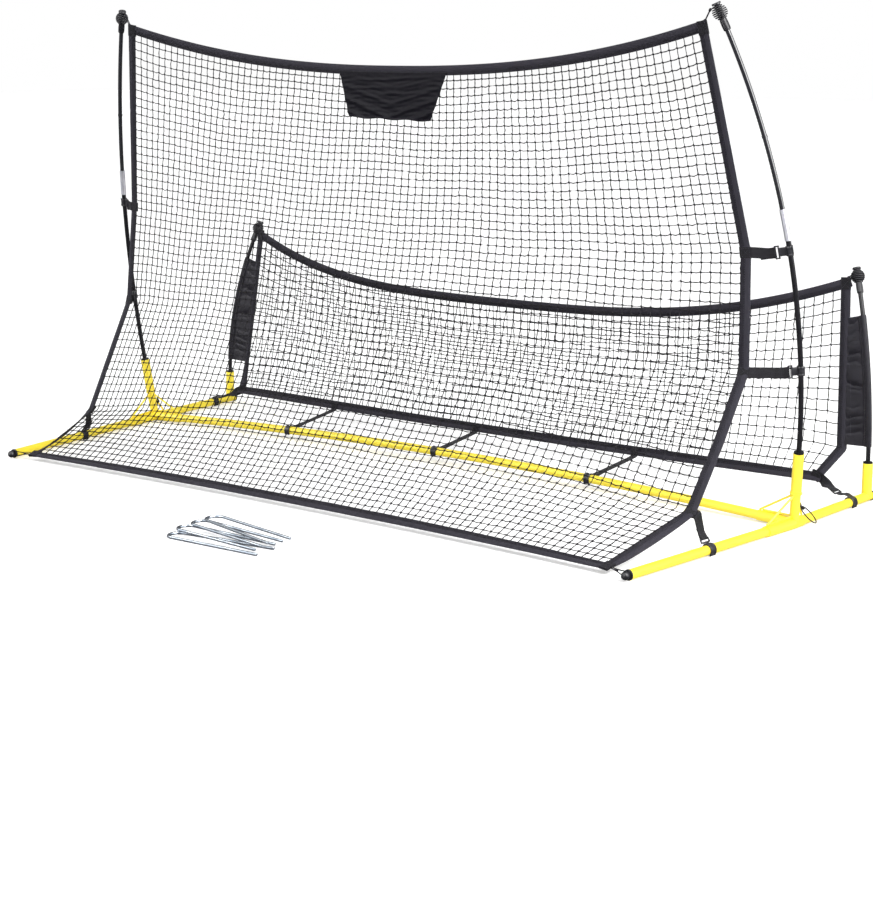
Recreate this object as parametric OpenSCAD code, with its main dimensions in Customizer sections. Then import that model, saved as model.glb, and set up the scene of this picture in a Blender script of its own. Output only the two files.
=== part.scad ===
/* [Base] */
// Distance between the two side rails, centre to centre at the corner brackets
rail_spacing = 2104; // [2000:2:2200]
// Outside diameter of the base tubes
tube_d = 22; // [20:0.5:22]
// Wall of every steel tube
tube_wall = 1.5; // [1.2:0.1:1.5]
// Outside diameter of the bracket sleeves that the tubes plug into
sleeve_d = 26; // [26:0.5:28]
// Length of a front rail, from the corner to the flange of its ball cap
front_rail_len = 607; // [560:1:620]
// Length of a rear rail, from the corner to its end
rear_rail_len = 363; // [345:1:375]
// Angle by which the front rails close in towards the front
front_toe_in = 7.2; // [6.6:0.1:7.4]
// Angle by which the rear rails spread towards the back
rear_spread = 3.6; // [3.2:0.1:3.8]
// How far the crossbar's middle bends back under the pull of the nets
crossbar_bow_back = 50; // [40:1:60]
// How far the crossbar's middle arches up
crossbar_bow_up = 18; // [14:1:24]

/* [Poles] */
// Height of the middle of the tall poles' finned caps
tall_pole_height = 1185; // [1170:1:1200]
// Diameter of the tall and the rear poles
pole_d = 12; // [11:0.5:12]
// Height of the middle of the rear poles' finned caps
rear_pole_height = 547; // [540:1:556]
// Diameter of the finned ball on each pole
fin_ball_d = 35; // [30:1:36]

/* [Nets] */
// Width of the hems, side tapes and straps
tape_w = 25; // [22:0.5:26]
// Columns of gaps across each net
net_columns = 17; // [11:1:17]
// Width of a net strand
strand_w = 7; // [5:0.5:8]
// Drop of the tall net's top hem from its corners to its middle
top_hem_sag = 115; // [100:1:125]

/* [Ground pegs] */
// Wire diameter of the ground pegs
peg_wire_d = 7; // [6:0.5:7]
// Length of a peg from its arch to its tips
peg_len = 280; // [260:1:290]
// Width of the arch between wire centres
peg_arch_w = 46; // [44:1:48]

/* [Hidden] */
$fn = 48;

// The set is built about the foot of the crossbar and then moved so that its own footprint,
// pegs included, is centred on the origin
footprint_shift = 261;

// Vector helpers
function unit(v) = v / norm(v);
function mix(a, b, t) = a + (b - a) * t;
function on_left(p) = [-p.x, p.y, p.z];

// An arc from p0 to p1 that leaves p0 along the direction t0:
// [centre, direction of the bulge, direction of the chord, normal, radius, half angle]
function arc_from(p0, t0, p1) =
    let (chord = unit(p1 - p0), half = acos(unit(t0) * chord))
    let (bulge = unit(unit(t0) - cos(half) * chord))
    let (radius = norm(p1 - p0) / (2 * sin(half)))
    [(p0 + p1) / 2 - bulge * radius * cos(half), bulge, chord, cross(bulge, chord), radius, half];

// An arc from p0 to p1 whose middle stands off the chord by the vector sag
function arc_with_sag(p0, p1, sag) =
    let (half = 2 * atan(2 * norm(sag) / norm(p1 - p0)))
    arc_from(p0, cos(half) * unit(p1 - p0) + sin(half) * unit(sag), p1);

sweep_facets = 96;
function arc_angle(arc, f) = arc[5] * (2 * f - 1);
function arc_point(arc, f) =
    arc[0] + arc[4] * (cos(arc_angle(arc, f)) * arc[1] + sin(arc_angle(arc, f)) * arc[2]);
function arc_dir(arc, f) = cos(arc_angle(arc, f)) * arc[2] - sin(arc_angle(arc, f)) * arc[1];

// Everything in a module that is drawn along an arc from fraction f0 to fraction f1
module arc_sweep(arc, f0, f1) {
    c = arc[0];
    b = arc[1];
    k = arc[2];
    n = arc[3];
    multmatrix([[b.x, k.x, n.x, c.x], [b.y, k.y, n.y, c.y], [b.z, k.z, n.z, c.z], [0, 0, 0, 1]])
        rotate([0, 0, arc_angle(arc, f0)])
        rotate_extrude(angle = arc_angle(arc, f1) - arc_angle(arc, f0), $fn = sweep_facets)
        translate([arc[4], 0]) children();
}

// Turns +Z to the direction d and moves the origin to p
module aim(p, d) {
    u = unit(d);
    translate(p) rotate([0, acos(u.z), atan2(u.y, u.x)]) children();
}

// A frame whose +Z is the axis and whose +X is the part of pull that is square to the axis
module frame_at(p, axis, pull) {
    z = unit(axis);
    x = unit(pull - (pull * z) * z);
    y = cross(z, x);
    multmatrix([[x.x, y.x, z.x, p.x], [x.y, y.y, z.y, p.y], [x.z, y.z, z.z, p.z], [0, 0, 0, 1]])
        children();
}

module rod(p0, p1, r) aim(p0, p1 - p0) cylinder(h = norm(p1 - p0), r = r);

module both_sides() {
    children();
    mirror([1, 0, 0]) children();
}

module placed() translate([0, footprint_shift, 0]) children();

// ---------------------------------------------------------------- places on the right side
tube_r = tube_d / 2;
bore_gap = 0.2;
sleeve_r = sleeve_d / 2;
rail_z = sleeve_r;
corner = [rail_spacing / 2, 0, rail_z];
front_dir = [-sin(front_toe_in), -cos(front_toe_in), 0];
rear_dir = [sin(rear_spread), cos(rear_spread), 0];
front_end = corner + front_dir * front_rail_len;
rear_end = corner + rear_dir * rear_rail_len;

crossbar_arc = arc_with_sag(on_left(corner), corner, [0, crossbar_bow_back, crossbar_bow_up]);
crossbar_len = 2 * crossbar_arc[4] * crossbar_arc[5] * PI / 180;
crossbar_joint = 345;

// Upright socket of the tall pole: it leans out and forward
upright_dir = unit([18, -20, 171]);
upright_len = 173;
socket_top = corner + upright_dir * upright_len;
collar_height = 75;
socket_r = 12.5;
socket_bore_r = 11;
plug_r = socket_bore_r - bore_gap;
plug_len = 70;
flange_h = 4;

// Rear pole socket
rear_socket_back = 17;
rear_foot = rear_end - rear_dir * rear_socket_back;
rear_dir_up = unit([0, 0.03, 1]);
rear_socket_len = 83;
rear_socket_top = rear_foot + rear_dir_up * rear_socket_len;

// Poles
pole_r = pole_d / 2;
tall_tip = [943, -202, tall_pole_height];
tall_arc = arc_from(socket_top + upright_dir * flange_h, upright_dir, tall_tip);
rear_tip = [1004, 409, rear_pole_height];
rear_arc = arc_from(rear_socket_top + rear_dir_up * flange_h, rear_dir_up, rear_tip);
ferrule_from = 0.485;
ferrule_to = 0.555;
ferrule_r = 7.2;
notch_at = 0.715;

// Finned cap, measured from the middle of its ball
fins = 8;
fin_pitch = 3.7;
fin_thick = 1.7;
fin_core_r = 7.2;
cap_skirt_len = 28;
cap_skirt_r = 7.6;
cap_disc_r = 9.5;
ball_half = fin_pitch * fins / 2;
cap_bore_gap = 0.5;

// ---------------------------------------------------------------- shape of the tall net
// Outer edge of the net on the right, from the top corner to the apron's front corner
edge_points = [
    [907, -207, 1165],
    [990, -130, 656],
    [1000, -147, 387],
    [989, -258, 232],
    [974, -332, 88],
    [921, -594, 17]
];
// Rows of gaps between those points
edge_rows = [5, 3, 2, 2, 3];
net_rows = 15;

// Middle of the net, from the top hem to the front hem, as a Bezier curve in y and z
mid_curve = [
    [-158, edge_points[0].z - top_hem_sag],
    [-188, 550],
    [-238, 249],
    [-564, 17]
];
row_power = 2.3;

function bezier(c, t) =
    pow(1 - t, 3) * c[0] + 3 * pow(1 - t, 2) * t * c[1] + 3 * (1 - t) * t * t * c[2]
    + pow(t, 3) * c[3];

// Distance along the edge up to point i, and the whole length
function edge_run(i) = i == 0 ? 0 : edge_run(i - 1) + norm(edge_points[i] - edge_points[i - 1]);
edge_len = edge_run(len(edge_points) - 1);

// Point of the edge at a fraction t of its length
function edge_at(t, i = 1) =
    t * edge_len <= edge_run(i) || i == len(edge_points) - 1
    ? mix(edge_points[i - 1], edge_points[i],
          (t * edge_len - edge_run(i - 1)) / (edge_run(i) - edge_run(i - 1)))
    : edge_at(t, i + 1);

// Fraction t of row i, rows being even between two edge points
function row_start(k) = k == 0 ? 0 : row_start(k - 1) + edge_rows[k - 1];
function row_t(i, k = 0) =
    i <= row_start(k + 1) || k == len(edge_rows) - 1
    ? mix(edge_run(k), edge_run(k + 1), (i - row_start(k)) / edge_rows[k]) / edge_len
    : row_t(i, k + 1);

// Point of the net: u runs from -1 at the left edge to 1 at the right edge, t from 0 to 1
function tall_net_point(u, t) =
    let (side = edge_at(t), middle = bezier(mid_curve, t), s = pow(abs(u), row_power))
    [u * side.x, mix(middle.x, side.y, s), mix(middle.y, side.z, s)];

// ---------------------------------------------------------------- shape of the rear net
rear_top_corner = [1000, 400, 530];
rear_knee = [1001, 350, 122];
rear_knee_t = 0.81;
rear_low_corner = [966, 278, 68];
rear_top_mid = [325, 402];
rear_low_mid = [305, 58];
rear_net_rows = 4;
rear_power = 2.8;

// The side edge drops along the sleeve to a knee and then runs in to the low corner
function rear_side_at(t) =
    t < rear_knee_t
    ? mix(rear_top_corner, rear_knee, t / rear_knee_t)
    : mix(rear_knee, rear_low_corner, (t - rear_knee_t) / (1 - rear_knee_t));
function rear_row_t(i) = i < rear_net_rows ? rear_knee_t * i / (rear_net_rows - 1) : 1;

function rear_net_point(u, t) =
    let (side = rear_side_at(t))
    let (middle = mix(rear_top_mid, rear_low_mid, t))
    let (s = pow(abs(u), mix(rear_power, 2, t)))
    [u * side.x, mix(middle.x, side.y, s), mix(middle.y, side.z, s)];

// ---------------------------------------------------------------- sheets and nets
// A closed slab over a grid of points, front face moved by +n and back face by -n
module slab(grid, n) {
    rows = len(grid);
    cols = len(grid[0]);
    count = rows * cols;
    function id(i, j, back) = i * cols + j + back * count;
    points = concat(
        [for (i = [0:rows - 1], j = [0:cols - 1]) grid[i][j] + n],
        [for (i = [0:rows - 1], j = [0:cols - 1]) grid[i][j] - n]);
    function quad(a, b, c, d) = [[a, b, c], [a, c, d]];
    faces = concat(
        [for (i = [0:rows - 2], j = [0:cols - 2], f = quad(id(i, j, 0), id(i, j + 1, 0),
            id(i + 1, j + 1, 0), id(i + 1, j, 0))) f],
        [for (i = [0:rows - 2], j = [0:cols - 2], f = quad(id(i, j, 1), id(i + 1, j, 1),
            id(i + 1, j + 1, 1), id(i, j + 1, 1))) f],
        [for (j = [0:cols - 2], f = quad(id(0, j, 0), id(0, j, 1), id(0, j + 1, 1),
            id(0, j + 1, 0))) f],
        [for (j = [0:cols - 2], f = quad(id(rows - 1, j, 0), id(rows - 1, j + 1, 0),
            id(rows - 1, j + 1, 1), id(rows - 1, j, 1))) f],
        [for (i = [0:rows - 2], f = quad(id(i, 0, 0), id(i + 1, 0, 0), id(i + 1, 0, 1),
            id(i, 0, 1))) f],
        [for (i = [0:rows - 2], f = quad(id(i, cols - 1, 0), id(i, cols - 1, 1),
            id(i + 1, cols - 1, 1), id(i + 1, cols - 1, 0))) f]);
    polyhedron(points = points, faces = faces);
}

// One band of net with square gaps. spots[i][j] holds the crossing of row strand i and column
// strand j as four points: top left, top right, bottom right, bottom left. n[i] is half the
// thickness at row i, as a vector
module net_band(spots, n) {
    rows = len(spots);
    cols = len(spots[0]);
    count = rows * cols * 4;
    function id(i, j, c, back) = (i * cols + j) * 4 + c + back * count;
    points = concat(
        [for (i = [0:rows - 1], j = [0:cols - 1], c = [0:3]) spots[i][j][c] + n[i]],
        [for (i = [0:rows - 1], j = [0:cols - 1], c = [0:3]) spots[i][j][c] - n[i]]);
    // A quad on the front face and its twin on the back face
    function faced(a, b, c, d) = [
        [a, b, c], [a, c, d],
        [a + count, c + count, b + count], [a + count, d + count, c + count]];
    // A wall from the front edge a-b to the back face
    function wall(a, b) = [[b, a, a + count], [b, a + count, b + count]];
    crossings = [for (i = [0:rows - 1], j = [0:cols - 1],
        f = faced(id(i, j, 0, 0), id(i, j, 1, 0), id(i, j, 2, 0), id(i, j, 3, 0))) f];
    across = [for (i = [0:rows - 1], j = [0:cols - 2],
        f = faced(id(i, j, 1, 0), id(i, j + 1, 0, 0), id(i, j + 1, 3, 0), id(i, j, 2, 0))) f];
    down = [for (i = [0:rows - 2], j = [0:cols - 1],
        f = faced(id(i, j, 3, 0), id(i, j, 2, 0), id(i + 1, j, 1, 0), id(i + 1, j, 0, 0))) f];
    gaps = [for (i = [0:rows - 2], j = [0:cols - 2], f = concat(
        wall(id(i, j + 1, 3, 0), id(i, j, 2, 0)),
        wall(id(i, j, 2, 0), id(i + 1, j, 1, 0)),
        wall(id(i + 1, j, 1, 0), id(i + 1, j + 1, 0, 0)),
        wall(id(i + 1, j + 1, 0, 0), id(i, j + 1, 3, 0)))) f];
    top = [for (j = [0:cols - 1], f = wall(id(0, j, 0, 0), id(0, j, 1, 0))) f];
    top_links = [for (j = [0:cols - 2], f = wall(id(0, j, 1, 0), id(0, j + 1, 0, 0))) f];
    low = [for (j = [0:cols - 1], f = wall(id(rows - 1, j, 2, 0), id(rows - 1, j, 3, 0))) f];
    low_links = [for (j = [0:cols - 2],
        f = wall(id(rows - 1, j + 1, 3, 0), id(rows - 1, j, 2, 0))) f];
    left = [for (i = [0:rows - 1], f = wall(id(i, 0, 3, 0), id(i, 0, 0, 0))) f];
    left_links = [for (i = [0:rows - 2], f = wall(id(i + 1, 0, 0, 0), id(i, 0, 3, 0))) f];
    right = [for (i = [0:rows - 1],
        f = wall(id(i, cols - 1, 1, 0), id(i, cols - 1, 2, 0))) f];
    right_links = [for (i = [0:rows - 2],
        f = wall(id(i, cols - 1, 2, 0), id(i + 1, cols - 1, 1, 0))) f];
    polyhedron(points = points, faces = concat(crossings, across, down, gaps, top, top_links,
        low, low_links, left, left_links, right, right_links));
}

// ---------------------------------------------------------------- base
yellow = [0.98, 0.86, 0.1];
black = [0.1, 0.1, 0.12];
cloth = [0.13, 0.13, 0.16];
silver = [0.78, 0.79, 0.82];

tube_bore_r = tube_r - tube_wall;
inner_start = 18;

module front_rail() {
    color(yellow) difference() {
        rod(corner + front_dir * inner_start, front_end, tube_r);
        rod(corner, front_end + front_dir, tube_bore_r);
    }
}

// Pole plug socket on the rear end of the rear rail, welded over the tube
module rear_rail() {
    color(yellow) difference() {
        union() {
            rod(corner + rear_dir * inner_start, rear_end, tube_r);
            rod(rear_foot, rear_socket_top, socket_r);
        }
        rod(corner, rear_end + rear_dir, tube_bore_r);
        rod(rear_foot + rear_dir_up * tube_r, rear_socket_top + rear_dir_up, socket_bore_r);
    }
}

bracket_front_len = 112;
bracket_cross_len = 97;
bracket_rear_len = 34;
gusset_r = 2.6;
gusset_rise = sleeve_r + gusset_r - 1;
low_rod_in = 8;
low_rod_drop = 0.5;
low_rod_top = corner + [0, 0, sleeve_r + 4];
cross_sleeve_end = arc_point(crossbar_arc, 1 - bracket_cross_len / crossbar_len);
sleeve_bore_r = tube_r + bore_gap;
collar = corner + upright_dir * collar_height;

module corner_bracket() {
    sleeve_top = [0, 0, gusset_rise];
    front_mouth = corner + front_dir * bracket_front_len;
    rear_mouth = corner + rear_dir * bracket_rear_len;
    gusset_front = corner + front_dir * (bracket_front_len - 4) + sleeve_top;
    gusset_cross = cross_sleeve_end + [4, 0, 0] + sleeve_top;
    gusset_rear = corner + rear_dir * bracket_rear_len + sleeve_top;
    color(yellow) {
        difference() {
            union() {
                rod(corner - front_dir * 4, front_mouth, sleeve_r);
                rod(corner, rear_mouth, sleeve_r - 0.3);
                rod(corner, cross_sleeve_end, sleeve_r - 0.15);
                rod(corner, collar, socket_r - 1);
                rod(collar, socket_top, socket_r);
                rod(collar - upright_dir * 2, collar + upright_dir * 1.5, socket_r + 1.4);
            }
            rod(corner + front_dir * (inner_start - 1), front_mouth + front_dir, sleeve_bore_r);
            rod(corner + rear_dir * (inner_start - 1), rear_mouth + rear_dir, sleeve_bore_r);
            rod(mix(corner, cross_sleeve_end, (inner_start - 1) / bracket_cross_len),
                mix(corner, cross_sleeve_end, 1.02), sleeve_bore_r + 0.1);
            rod(socket_top - upright_dir * plug_len, socket_top + upright_dir, socket_bore_r);
        }
        rod(gusset_front, collar, gusset_r);
        rod(gusset_cross, collar, gusset_r);
        rod(gusset_rear, collar, gusset_r);
        rod(gusset_cross + [low_rod_in, 0, -low_rod_drop], low_rod_top, gusset_r);
        rod(gusset_front - front_dir * low_rod_in - [0, 0, low_rod_drop], low_rod_top, gusset_r);
    }
}

function crossbar_f(x) = 0.5 + asin(x / crossbar_arc[4]) / (2 * crossbar_arc[5]);
spigot_len = 50;
spigot_r = tube_bore_r - bore_gap;

module crossbar_side() {
    color(yellow) arc_sweep(crossbar_arc, crossbar_f(crossbar_joint),
        1 - inner_start / crossbar_len) difference() {
            circle(r = tube_r);
            circle(r = tube_bore_r);
        }
}

module crossbar_middle_tube() {
    color(yellow) difference() {
        union() {
            arc_sweep(crossbar_arc, crossbar_f(-crossbar_joint), crossbar_f(crossbar_joint))
                circle(r = tube_r);
            arc_sweep(crossbar_arc, crossbar_f(-crossbar_joint - spigot_len),
                crossbar_f(crossbar_joint + spigot_len)) circle(r = spigot_r);
        }
        arc_sweep(crossbar_arc, crossbar_f(-crossbar_joint - spigot_len - 2),
            crossbar_f(crossbar_joint + spigot_len + 2)) circle(r = spigot_r - tube_wall);
    }
}

// Ball end cap: a plug in the tube, a flange over its end and a ball on a neck for the elastic
ball_r = 9.5;
ball_ahead = 12;
ball_flange_r = 12;
ball_flange_h = 4;
ball_neck_r = 6.5;
plug_grip = 18;
module ball_cap() {
    color(black) aim(front_end, front_dir) {
        translate([0, 0, ball_ahead]) sphere(r = ball_r);
        rotate_extrude() polygon([[0, -plug_grip], [tube_bore_r - bore_gap - 1, -plug_grip],
            [tube_bore_r - bore_gap, 1 - plug_grip], [tube_bore_r - bore_gap, 0.05],
            [ball_flange_r, 0.05], [ball_flange_r, ball_flange_h - 1],
            [ball_flange_r - 1, ball_flange_h], [ball_neck_r, ball_flange_h],
            [ball_neck_r, ball_ahead - ball_r + 4], [0, ball_ahead - ball_r + 4]]);
    }
}

module end_plug() {
    color(black) aim(rear_end, rear_dir) {
        cylinder(h = 3, r = sleeve_r);
        translate([0, 0, -14]) cylinder(h = 14.01, r = tube_bore_r - bore_gap);
    }
}

// ---------------------------------------------------------------- poles
module pole_plug(mouth, d) {
    rod(mouth - d * (plug_len - 1), mouth + d, plug_r);
    rod(mouth, mouth + d * flange_h, socket_r - 0.8);
}

module tall_pole_lower() {
    color(black) {
        pole_plug(socket_top, upright_dir);
        arc_sweep(tall_arc, -0.002, (ferrule_from + ferrule_to) / 2) circle(r = pole_r);
    }
}

module tall_pole_upper() {
    color(black) {
        arc_sweep(tall_arc, (ferrule_from + ferrule_to) / 2, 1) circle(r = pole_r - 0.4);
        arc_sweep(tall_arc, notch_at, notch_at + 0.005) circle(r = pole_r + 0.5);
    }
}

module pole_ferrule() {
    color(silver) arc_sweep(tall_arc, ferrule_from, ferrule_to) difference() {
        circle(r = ferrule_r);
        circle(r = pole_r + bore_gap);
    }
}

module rear_pole() {
    color(black) {
        pole_plug(rear_socket_top, rear_dir_up);
        arc_sweep(rear_arc, -0.004, 1) circle(r = pole_r - 0.4);
    }
}

// Soft cap: eight discs that fill a ball, a flat disc on top and a ribbed skirt on the pole
module finned_cap(arc) {
    fin_r = fin_ball_d / 2;
    color(black) aim(arc_point(arc, 1), arc_dir(arc, 1)) difference() {
        union() {
            translate([0, 0, -ball_half]) cylinder(h = 2 * ball_half, r = fin_core_r);
            for (i = [0:fins - 1]) {
                z = (i - (fins - 1) / 2) * fin_pitch;
                translate([0, 0, z - fin_thick / 2])
                    cylinder(h = fin_thick, r = sqrt(fin_r * fin_r - z * z));
            }
            translate([0, 0, ball_half]) cylinder(h = 5, r = 5.2);
            translate([0, 0, ball_half + 5]) cylinder(h = 2.4, r = cap_disc_r);
            translate([0, 0, -ball_half - cap_skirt_len]) cylinder(h = cap_skirt_len,
                r1 = cap_skirt_r - 0.4, r2 = cap_skirt_r);
            for (a = [0:45:315]) rotate([0, 0, a])
                translate([cap_skirt_r - 1, -0.7, -ball_half - cap_skirt_len])
                cube([1.6, 1.4, cap_skirt_len]);
        }
        translate([0, 0, -ball_half - cap_skirt_len - 1])
            cylinder(h = ball_half + cap_skirt_len + 1.5, r = pole_r + cap_bore_gap);
    }
}

// ---------------------------------------------------------------- nets and cloth
net_thick = 1.2;
band_slit = 0.25;
hem_overlap = 6;
seam_u = tape_w / edge_points[1].x;
net_u = 1 - seam_u * (1 - hem_overlap / tape_w);
net_t0 = (tape_w - hem_overlap) / edge_len;
front_normal = [0, -1, 0];
apron_normal = unit([0, -0.35, 1]);

// Strand half widths as fractions of the net
half_u = strand_w / 2 / edge_points[1].x;
half_t = strand_w / 2 / edge_len;

function column_u(j) = net_u * (2 * j / net_columns - 1);
function kept_t(i) = mix(net_t0, 1 - net_t0, row_t(i));

// The four points of a crossing. First and last strands keep only their inner half, and a
// band stops just short of the next one
function tall_spot(i, j, first, last) =
    let (t0 = kept_t(i) - (i == first ? -band_slit / edge_len : half_t))
    let (t1 = kept_t(i) + (i == last ? -band_slit / edge_len : half_t))
    let (u0 = column_u(j) - (j == 0 ? 0 : half_u))
    let (u1 = column_u(j) + (j == net_columns ? 0 : half_u))
    [tall_net_point(u0, t0), tall_net_point(u1, t0), tall_net_point(u1, t1),
     tall_net_point(u0, t1)];

// The net faces forward at the top and more and more upward towards the apron
function row_normal(i) = unit(mix(front_normal, apron_normal, i / net_rows));

module tall_band(first, last) {
    net_band([for (i = [first:last]) [for (j = [0:net_columns]) tall_spot(i, j, first, last)]],
        [for (i = [first:last]) row_normal(i) * net_thick]);
}

module tall_rebound_net() {
    color(black) {
        tall_band(0, 5);
        tall_band(5, 8);
        tall_band(8, 10);
        tall_band(10, 12);
        tall_band(12, net_rows);
    }
}

hem_steps = 20;
hem_thick = 1.6;
function hem_u(k) = 2 * k / hem_steps - 1;

module top_hem() {
    color(cloth) slab([for (t = [0, tape_w / edge_len]) [for (k = [0:hem_steps])
        tall_net_point(hem_u(k), t)]], front_normal * hem_thick);
}

module front_hem() {
    color(cloth) slab([for (t = [1 - tape_w / edge_len, 1]) [for (k = [0:hem_steps])
        tall_net_point(hem_u(k), t)]], apron_normal * hem_thick);
}

// Side tape from below the top hem to above the front hem, a step for each change of slope
module side_tape() {
    tape_t0 = (tape_w + 0.4) / edge_len;
    stations = [tape_t0, 0.12, 0.24, edge_run(1) / edge_len, 0.46, edge_run(2) / edge_len,
        0.63, edge_run(3) / edge_len, 0.75, edge_run(4) / edge_len, 0.9, 1 - tape_t0];
    color(cloth) slab([for (t = stations) [for (u = [1 - seam_u, 1]) tall_net_point(u, t)]],
        unit([0, -1, 0.25]) * hem_thick);
}

// Plain banner, wider at the top than at the bottom, hanging just in front of the net
banner_top_u = 0.17;
banner_low_u = 0.13;
banner_h = 112;
module blank_banner() {
    rows = 4;
    cols = 8;
    t0 = (tape_w + 0.5) / edge_len;
    color(cloth) slab([for (i = [0:rows]) [for (j = [0:cols])
        let (t = t0 + i / rows * banner_h / edge_len)
        let (u = (2 * j / cols - 1) * mix(banner_top_u, banner_low_u, i / rows))
        tall_net_point(u, t) + [0, -4 - 1.2 * cos(180 * i), 0]]], front_normal * 1);
}

rear_net_drop = 410;
rear_half_u = strand_w / 2 / rear_top_corner.x;
rear_half_t = strand_w / 2 / rear_net_drop;
rear_t0 = (tape_w - hem_overlap) / rear_net_drop;
rear_net_u = 1 - (tape_w - hem_overlap) / rear_top_corner.x;
rear_normal = unit([0, -1, 0.3]);
function rear_u(j) = rear_net_u * (2 * j / net_columns - 1);
function rear_spot(i, j) =
    let (t = mix(rear_t0, 1 - rear_t0, rear_row_t(i)))
    let (t0 = t - (i == 0 ? 0 : rear_half_t), t1 = t + (i == rear_net_rows ? 0 : rear_half_t))
    let (u0 = rear_u(j) - (j == 0 ? 0 : rear_half_u))
    let (u1 = rear_u(j) + (j == net_columns ? 0 : rear_half_u))
    [rear_net_point(u0, t0), rear_net_point(u1, t0), rear_net_point(u1, t1),
     rear_net_point(u0, t1)];

module rear_rebound_net() {
    color(black) net_band([for (i = [0:rear_net_rows]) [for (j = [0:net_columns])
        rear_spot(i, j)]], [for (i = [0:rear_net_rows]) rear_normal * net_thick]);
}

module rear_top_hem() {
    color(cloth) slab([for (t = [0, tape_w / rear_net_drop]) [for (k = [0:hem_steps])
        rear_net_point(hem_u(k), t)]], rear_normal * hem_thick);
}

module rear_bottom_hem() {
    color(cloth) slab([for (t = [1 - tape_w / rear_net_drop, 1]) [for (k = [0:hem_steps])
        rear_net_point(hem_u(k), t)]], rear_normal * hem_thick);
}

module rear_side_tape() {
    tape_t0 = (tape_w + 0.4) / rear_net_drop;
    stations = [tape_t0, 0.27, 0.54, 0.7, rear_knee_t, 0.87, 1 - tape_t0];
    color(cloth) slab([for (t = stations) [for (u = [1 - tape_w / rear_top_corner.x, 1])
        rear_net_point(u, t)]], rear_normal * hem_thick);
}

// Wide cloth sleeve that wraps the rear pole and is sewn to the side tape of the rear net
sleeve_from = 0.1;
sleeve_to = 0.8;
sleeve_clear = 0.4;
sleeve_cloth = 1.2;
module rear_sleeve() {
    tunnel_r = pole_r - 0.4 + sleeve_clear;
    panel_t = [for (i = [0:6]) mix(0.16, 0.8, i / 6)];
    color(cloth) {
        difference() {
            arc_sweep(rear_arc, sleeve_from, sleeve_to) circle(r = tunnel_r + sleeve_cloth);
            arc_sweep(rear_arc, sleeve_from - 0.02, sleeve_to + 0.02) circle(r = tunnel_r);
        }
        slab([for (i = [0:6])
            let (pole = arc_point(rear_arc, mix(sleeve_to, sleeve_from, i / 6)))
            let (seam = rear_net_point(0.992, panel_t[i]))
            let (rim = pole + unit(seam - pole) * (tunnel_r + sleeve_cloth / 2))
            [seam, mix(seam, rim, 0.5), rim]], [0, -sleeve_cloth, 0]);
    }
}

// ---------------------------------------------------------------- straps, clips and elastics
strap_thick = 2;
clip_wall = 2.4;
clip_gap = 0.35;
clip_len = 16;
clip_frame = [11, 3.4];
clip_frame_rim = 3;
clip_slot = [3.8, 10];
clip_bar = 2.6;
clip_bar_x = clip_frame.x - clip_bar / 2;
crossbar_strap_w = 20;
strap_loop_r = 2.4;
strap_loop_wall = 1;

// Spring clip. The tube runs along +Z, the strap leaves towards +X round the outer bar of the
// frame, and the mouth is turned away by the angle mouth
module spring_clip(bore_r, arm, mouth, strap_w = tape_w) {
    inner = bore_r + clip_gap;
    outer = inner + clip_wall;
    frame_x = outer + arm;
    color(black) difference() {
        union() {
            translate([0, 0, -clip_len / 2]) cylinder(h = clip_len, r = outer);
            translate([0, -clip_frame.y / 2, -clip_len / 2])
                cube([frame_x + 1, clip_frame.y, clip_len]);
            translate([frame_x, -clip_frame.y / 2, -strap_w / 2 - clip_frame_rim])
                cube([clip_frame.x, clip_frame.y, strap_w + 2 * clip_frame_rim]);
        }
        translate([0, 0, -clip_len]) cylinder(h = 2 * clip_len, r = inner);
        rotate([0, 0, mouth]) translate([0, 0, -clip_len]) linear_extrude(2 * clip_len)
            polygon([[0, 0], [2 * outer, -1.5 * outer], [2 * outer, 1.5 * outer]]);
        translate([frame_x + clip_frame.x - clip_bar - clip_slot.x, -clip_slot.y / 2,
            -strap_w / 2 - 0.3]) cube([clip_slot.x, clip_slot.y, strap_w + 0.6]);
    }
}

// Flat webbing from the clip that sits at seat to the point edge of the net, with an eye that
// goes round the clip's bar
module strap_between(seat, axis, edge, bore_r, arm, strap_w = tape_w) {
    run = edge - seat;
    along = run * unit(axis);
    reach = norm(run - along * unit(axis));
    bar_x = bore_r + clip_gap + clip_wall + arm + clip_bar_x;
    half_w = strap_w / 2;
    color(black) frame_at(seat, axis, run) {
        translate([bar_x, 0, -half_w]) difference() {
            cylinder(h = strap_w, r = strap_loop_r + strap_loop_wall);
            translate([0, 0, -1]) cylinder(h = strap_w + 2, r = strap_loop_r);
        }
        rotate([90, 0, 0]) translate([0, 0, -strap_thick / 2]) linear_extrude(strap_thick)
            polygon([[bar_x + strap_loop_r + 0.3, -half_w], [reach, along - half_w],
                [reach, along + half_w], [bar_x + strap_loop_r + 0.3, half_w]]);
    }
}

// Places of the clips on the right side: point on the tube, tube direction, point on the net
upper_f = 0.462;
lower_f = 0.19;
upper_seat = arc_point(tall_arc, upper_f);
upper_axis = arc_dir(tall_arc, upper_f);
upper_edge = tall_net_point(1 - seam_u / 2, edge_run(1) / edge_len) + [0, 3, 0];
lower_seat = arc_point(tall_arc, lower_f);
lower_axis = arc_dir(tall_arc, lower_f);
lower_edge = tall_net_point(1 - seam_u / 2, edge_run(2) / edge_len) + [0, 3, 0];
bend_seat = corner + front_dir * 327;
bend_edge = tall_net_point(1 - seam_u / 2, edge_run(4) / edge_len) + [0, 1, -4];
rear_seat = corner + rear_dir * 268;
rear_edge = rear_net_point(0.985, 0.985) + [2, 4, -2];
pole_arm = 9;
rail_arm = 4;
hook_arm = 22;

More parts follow.
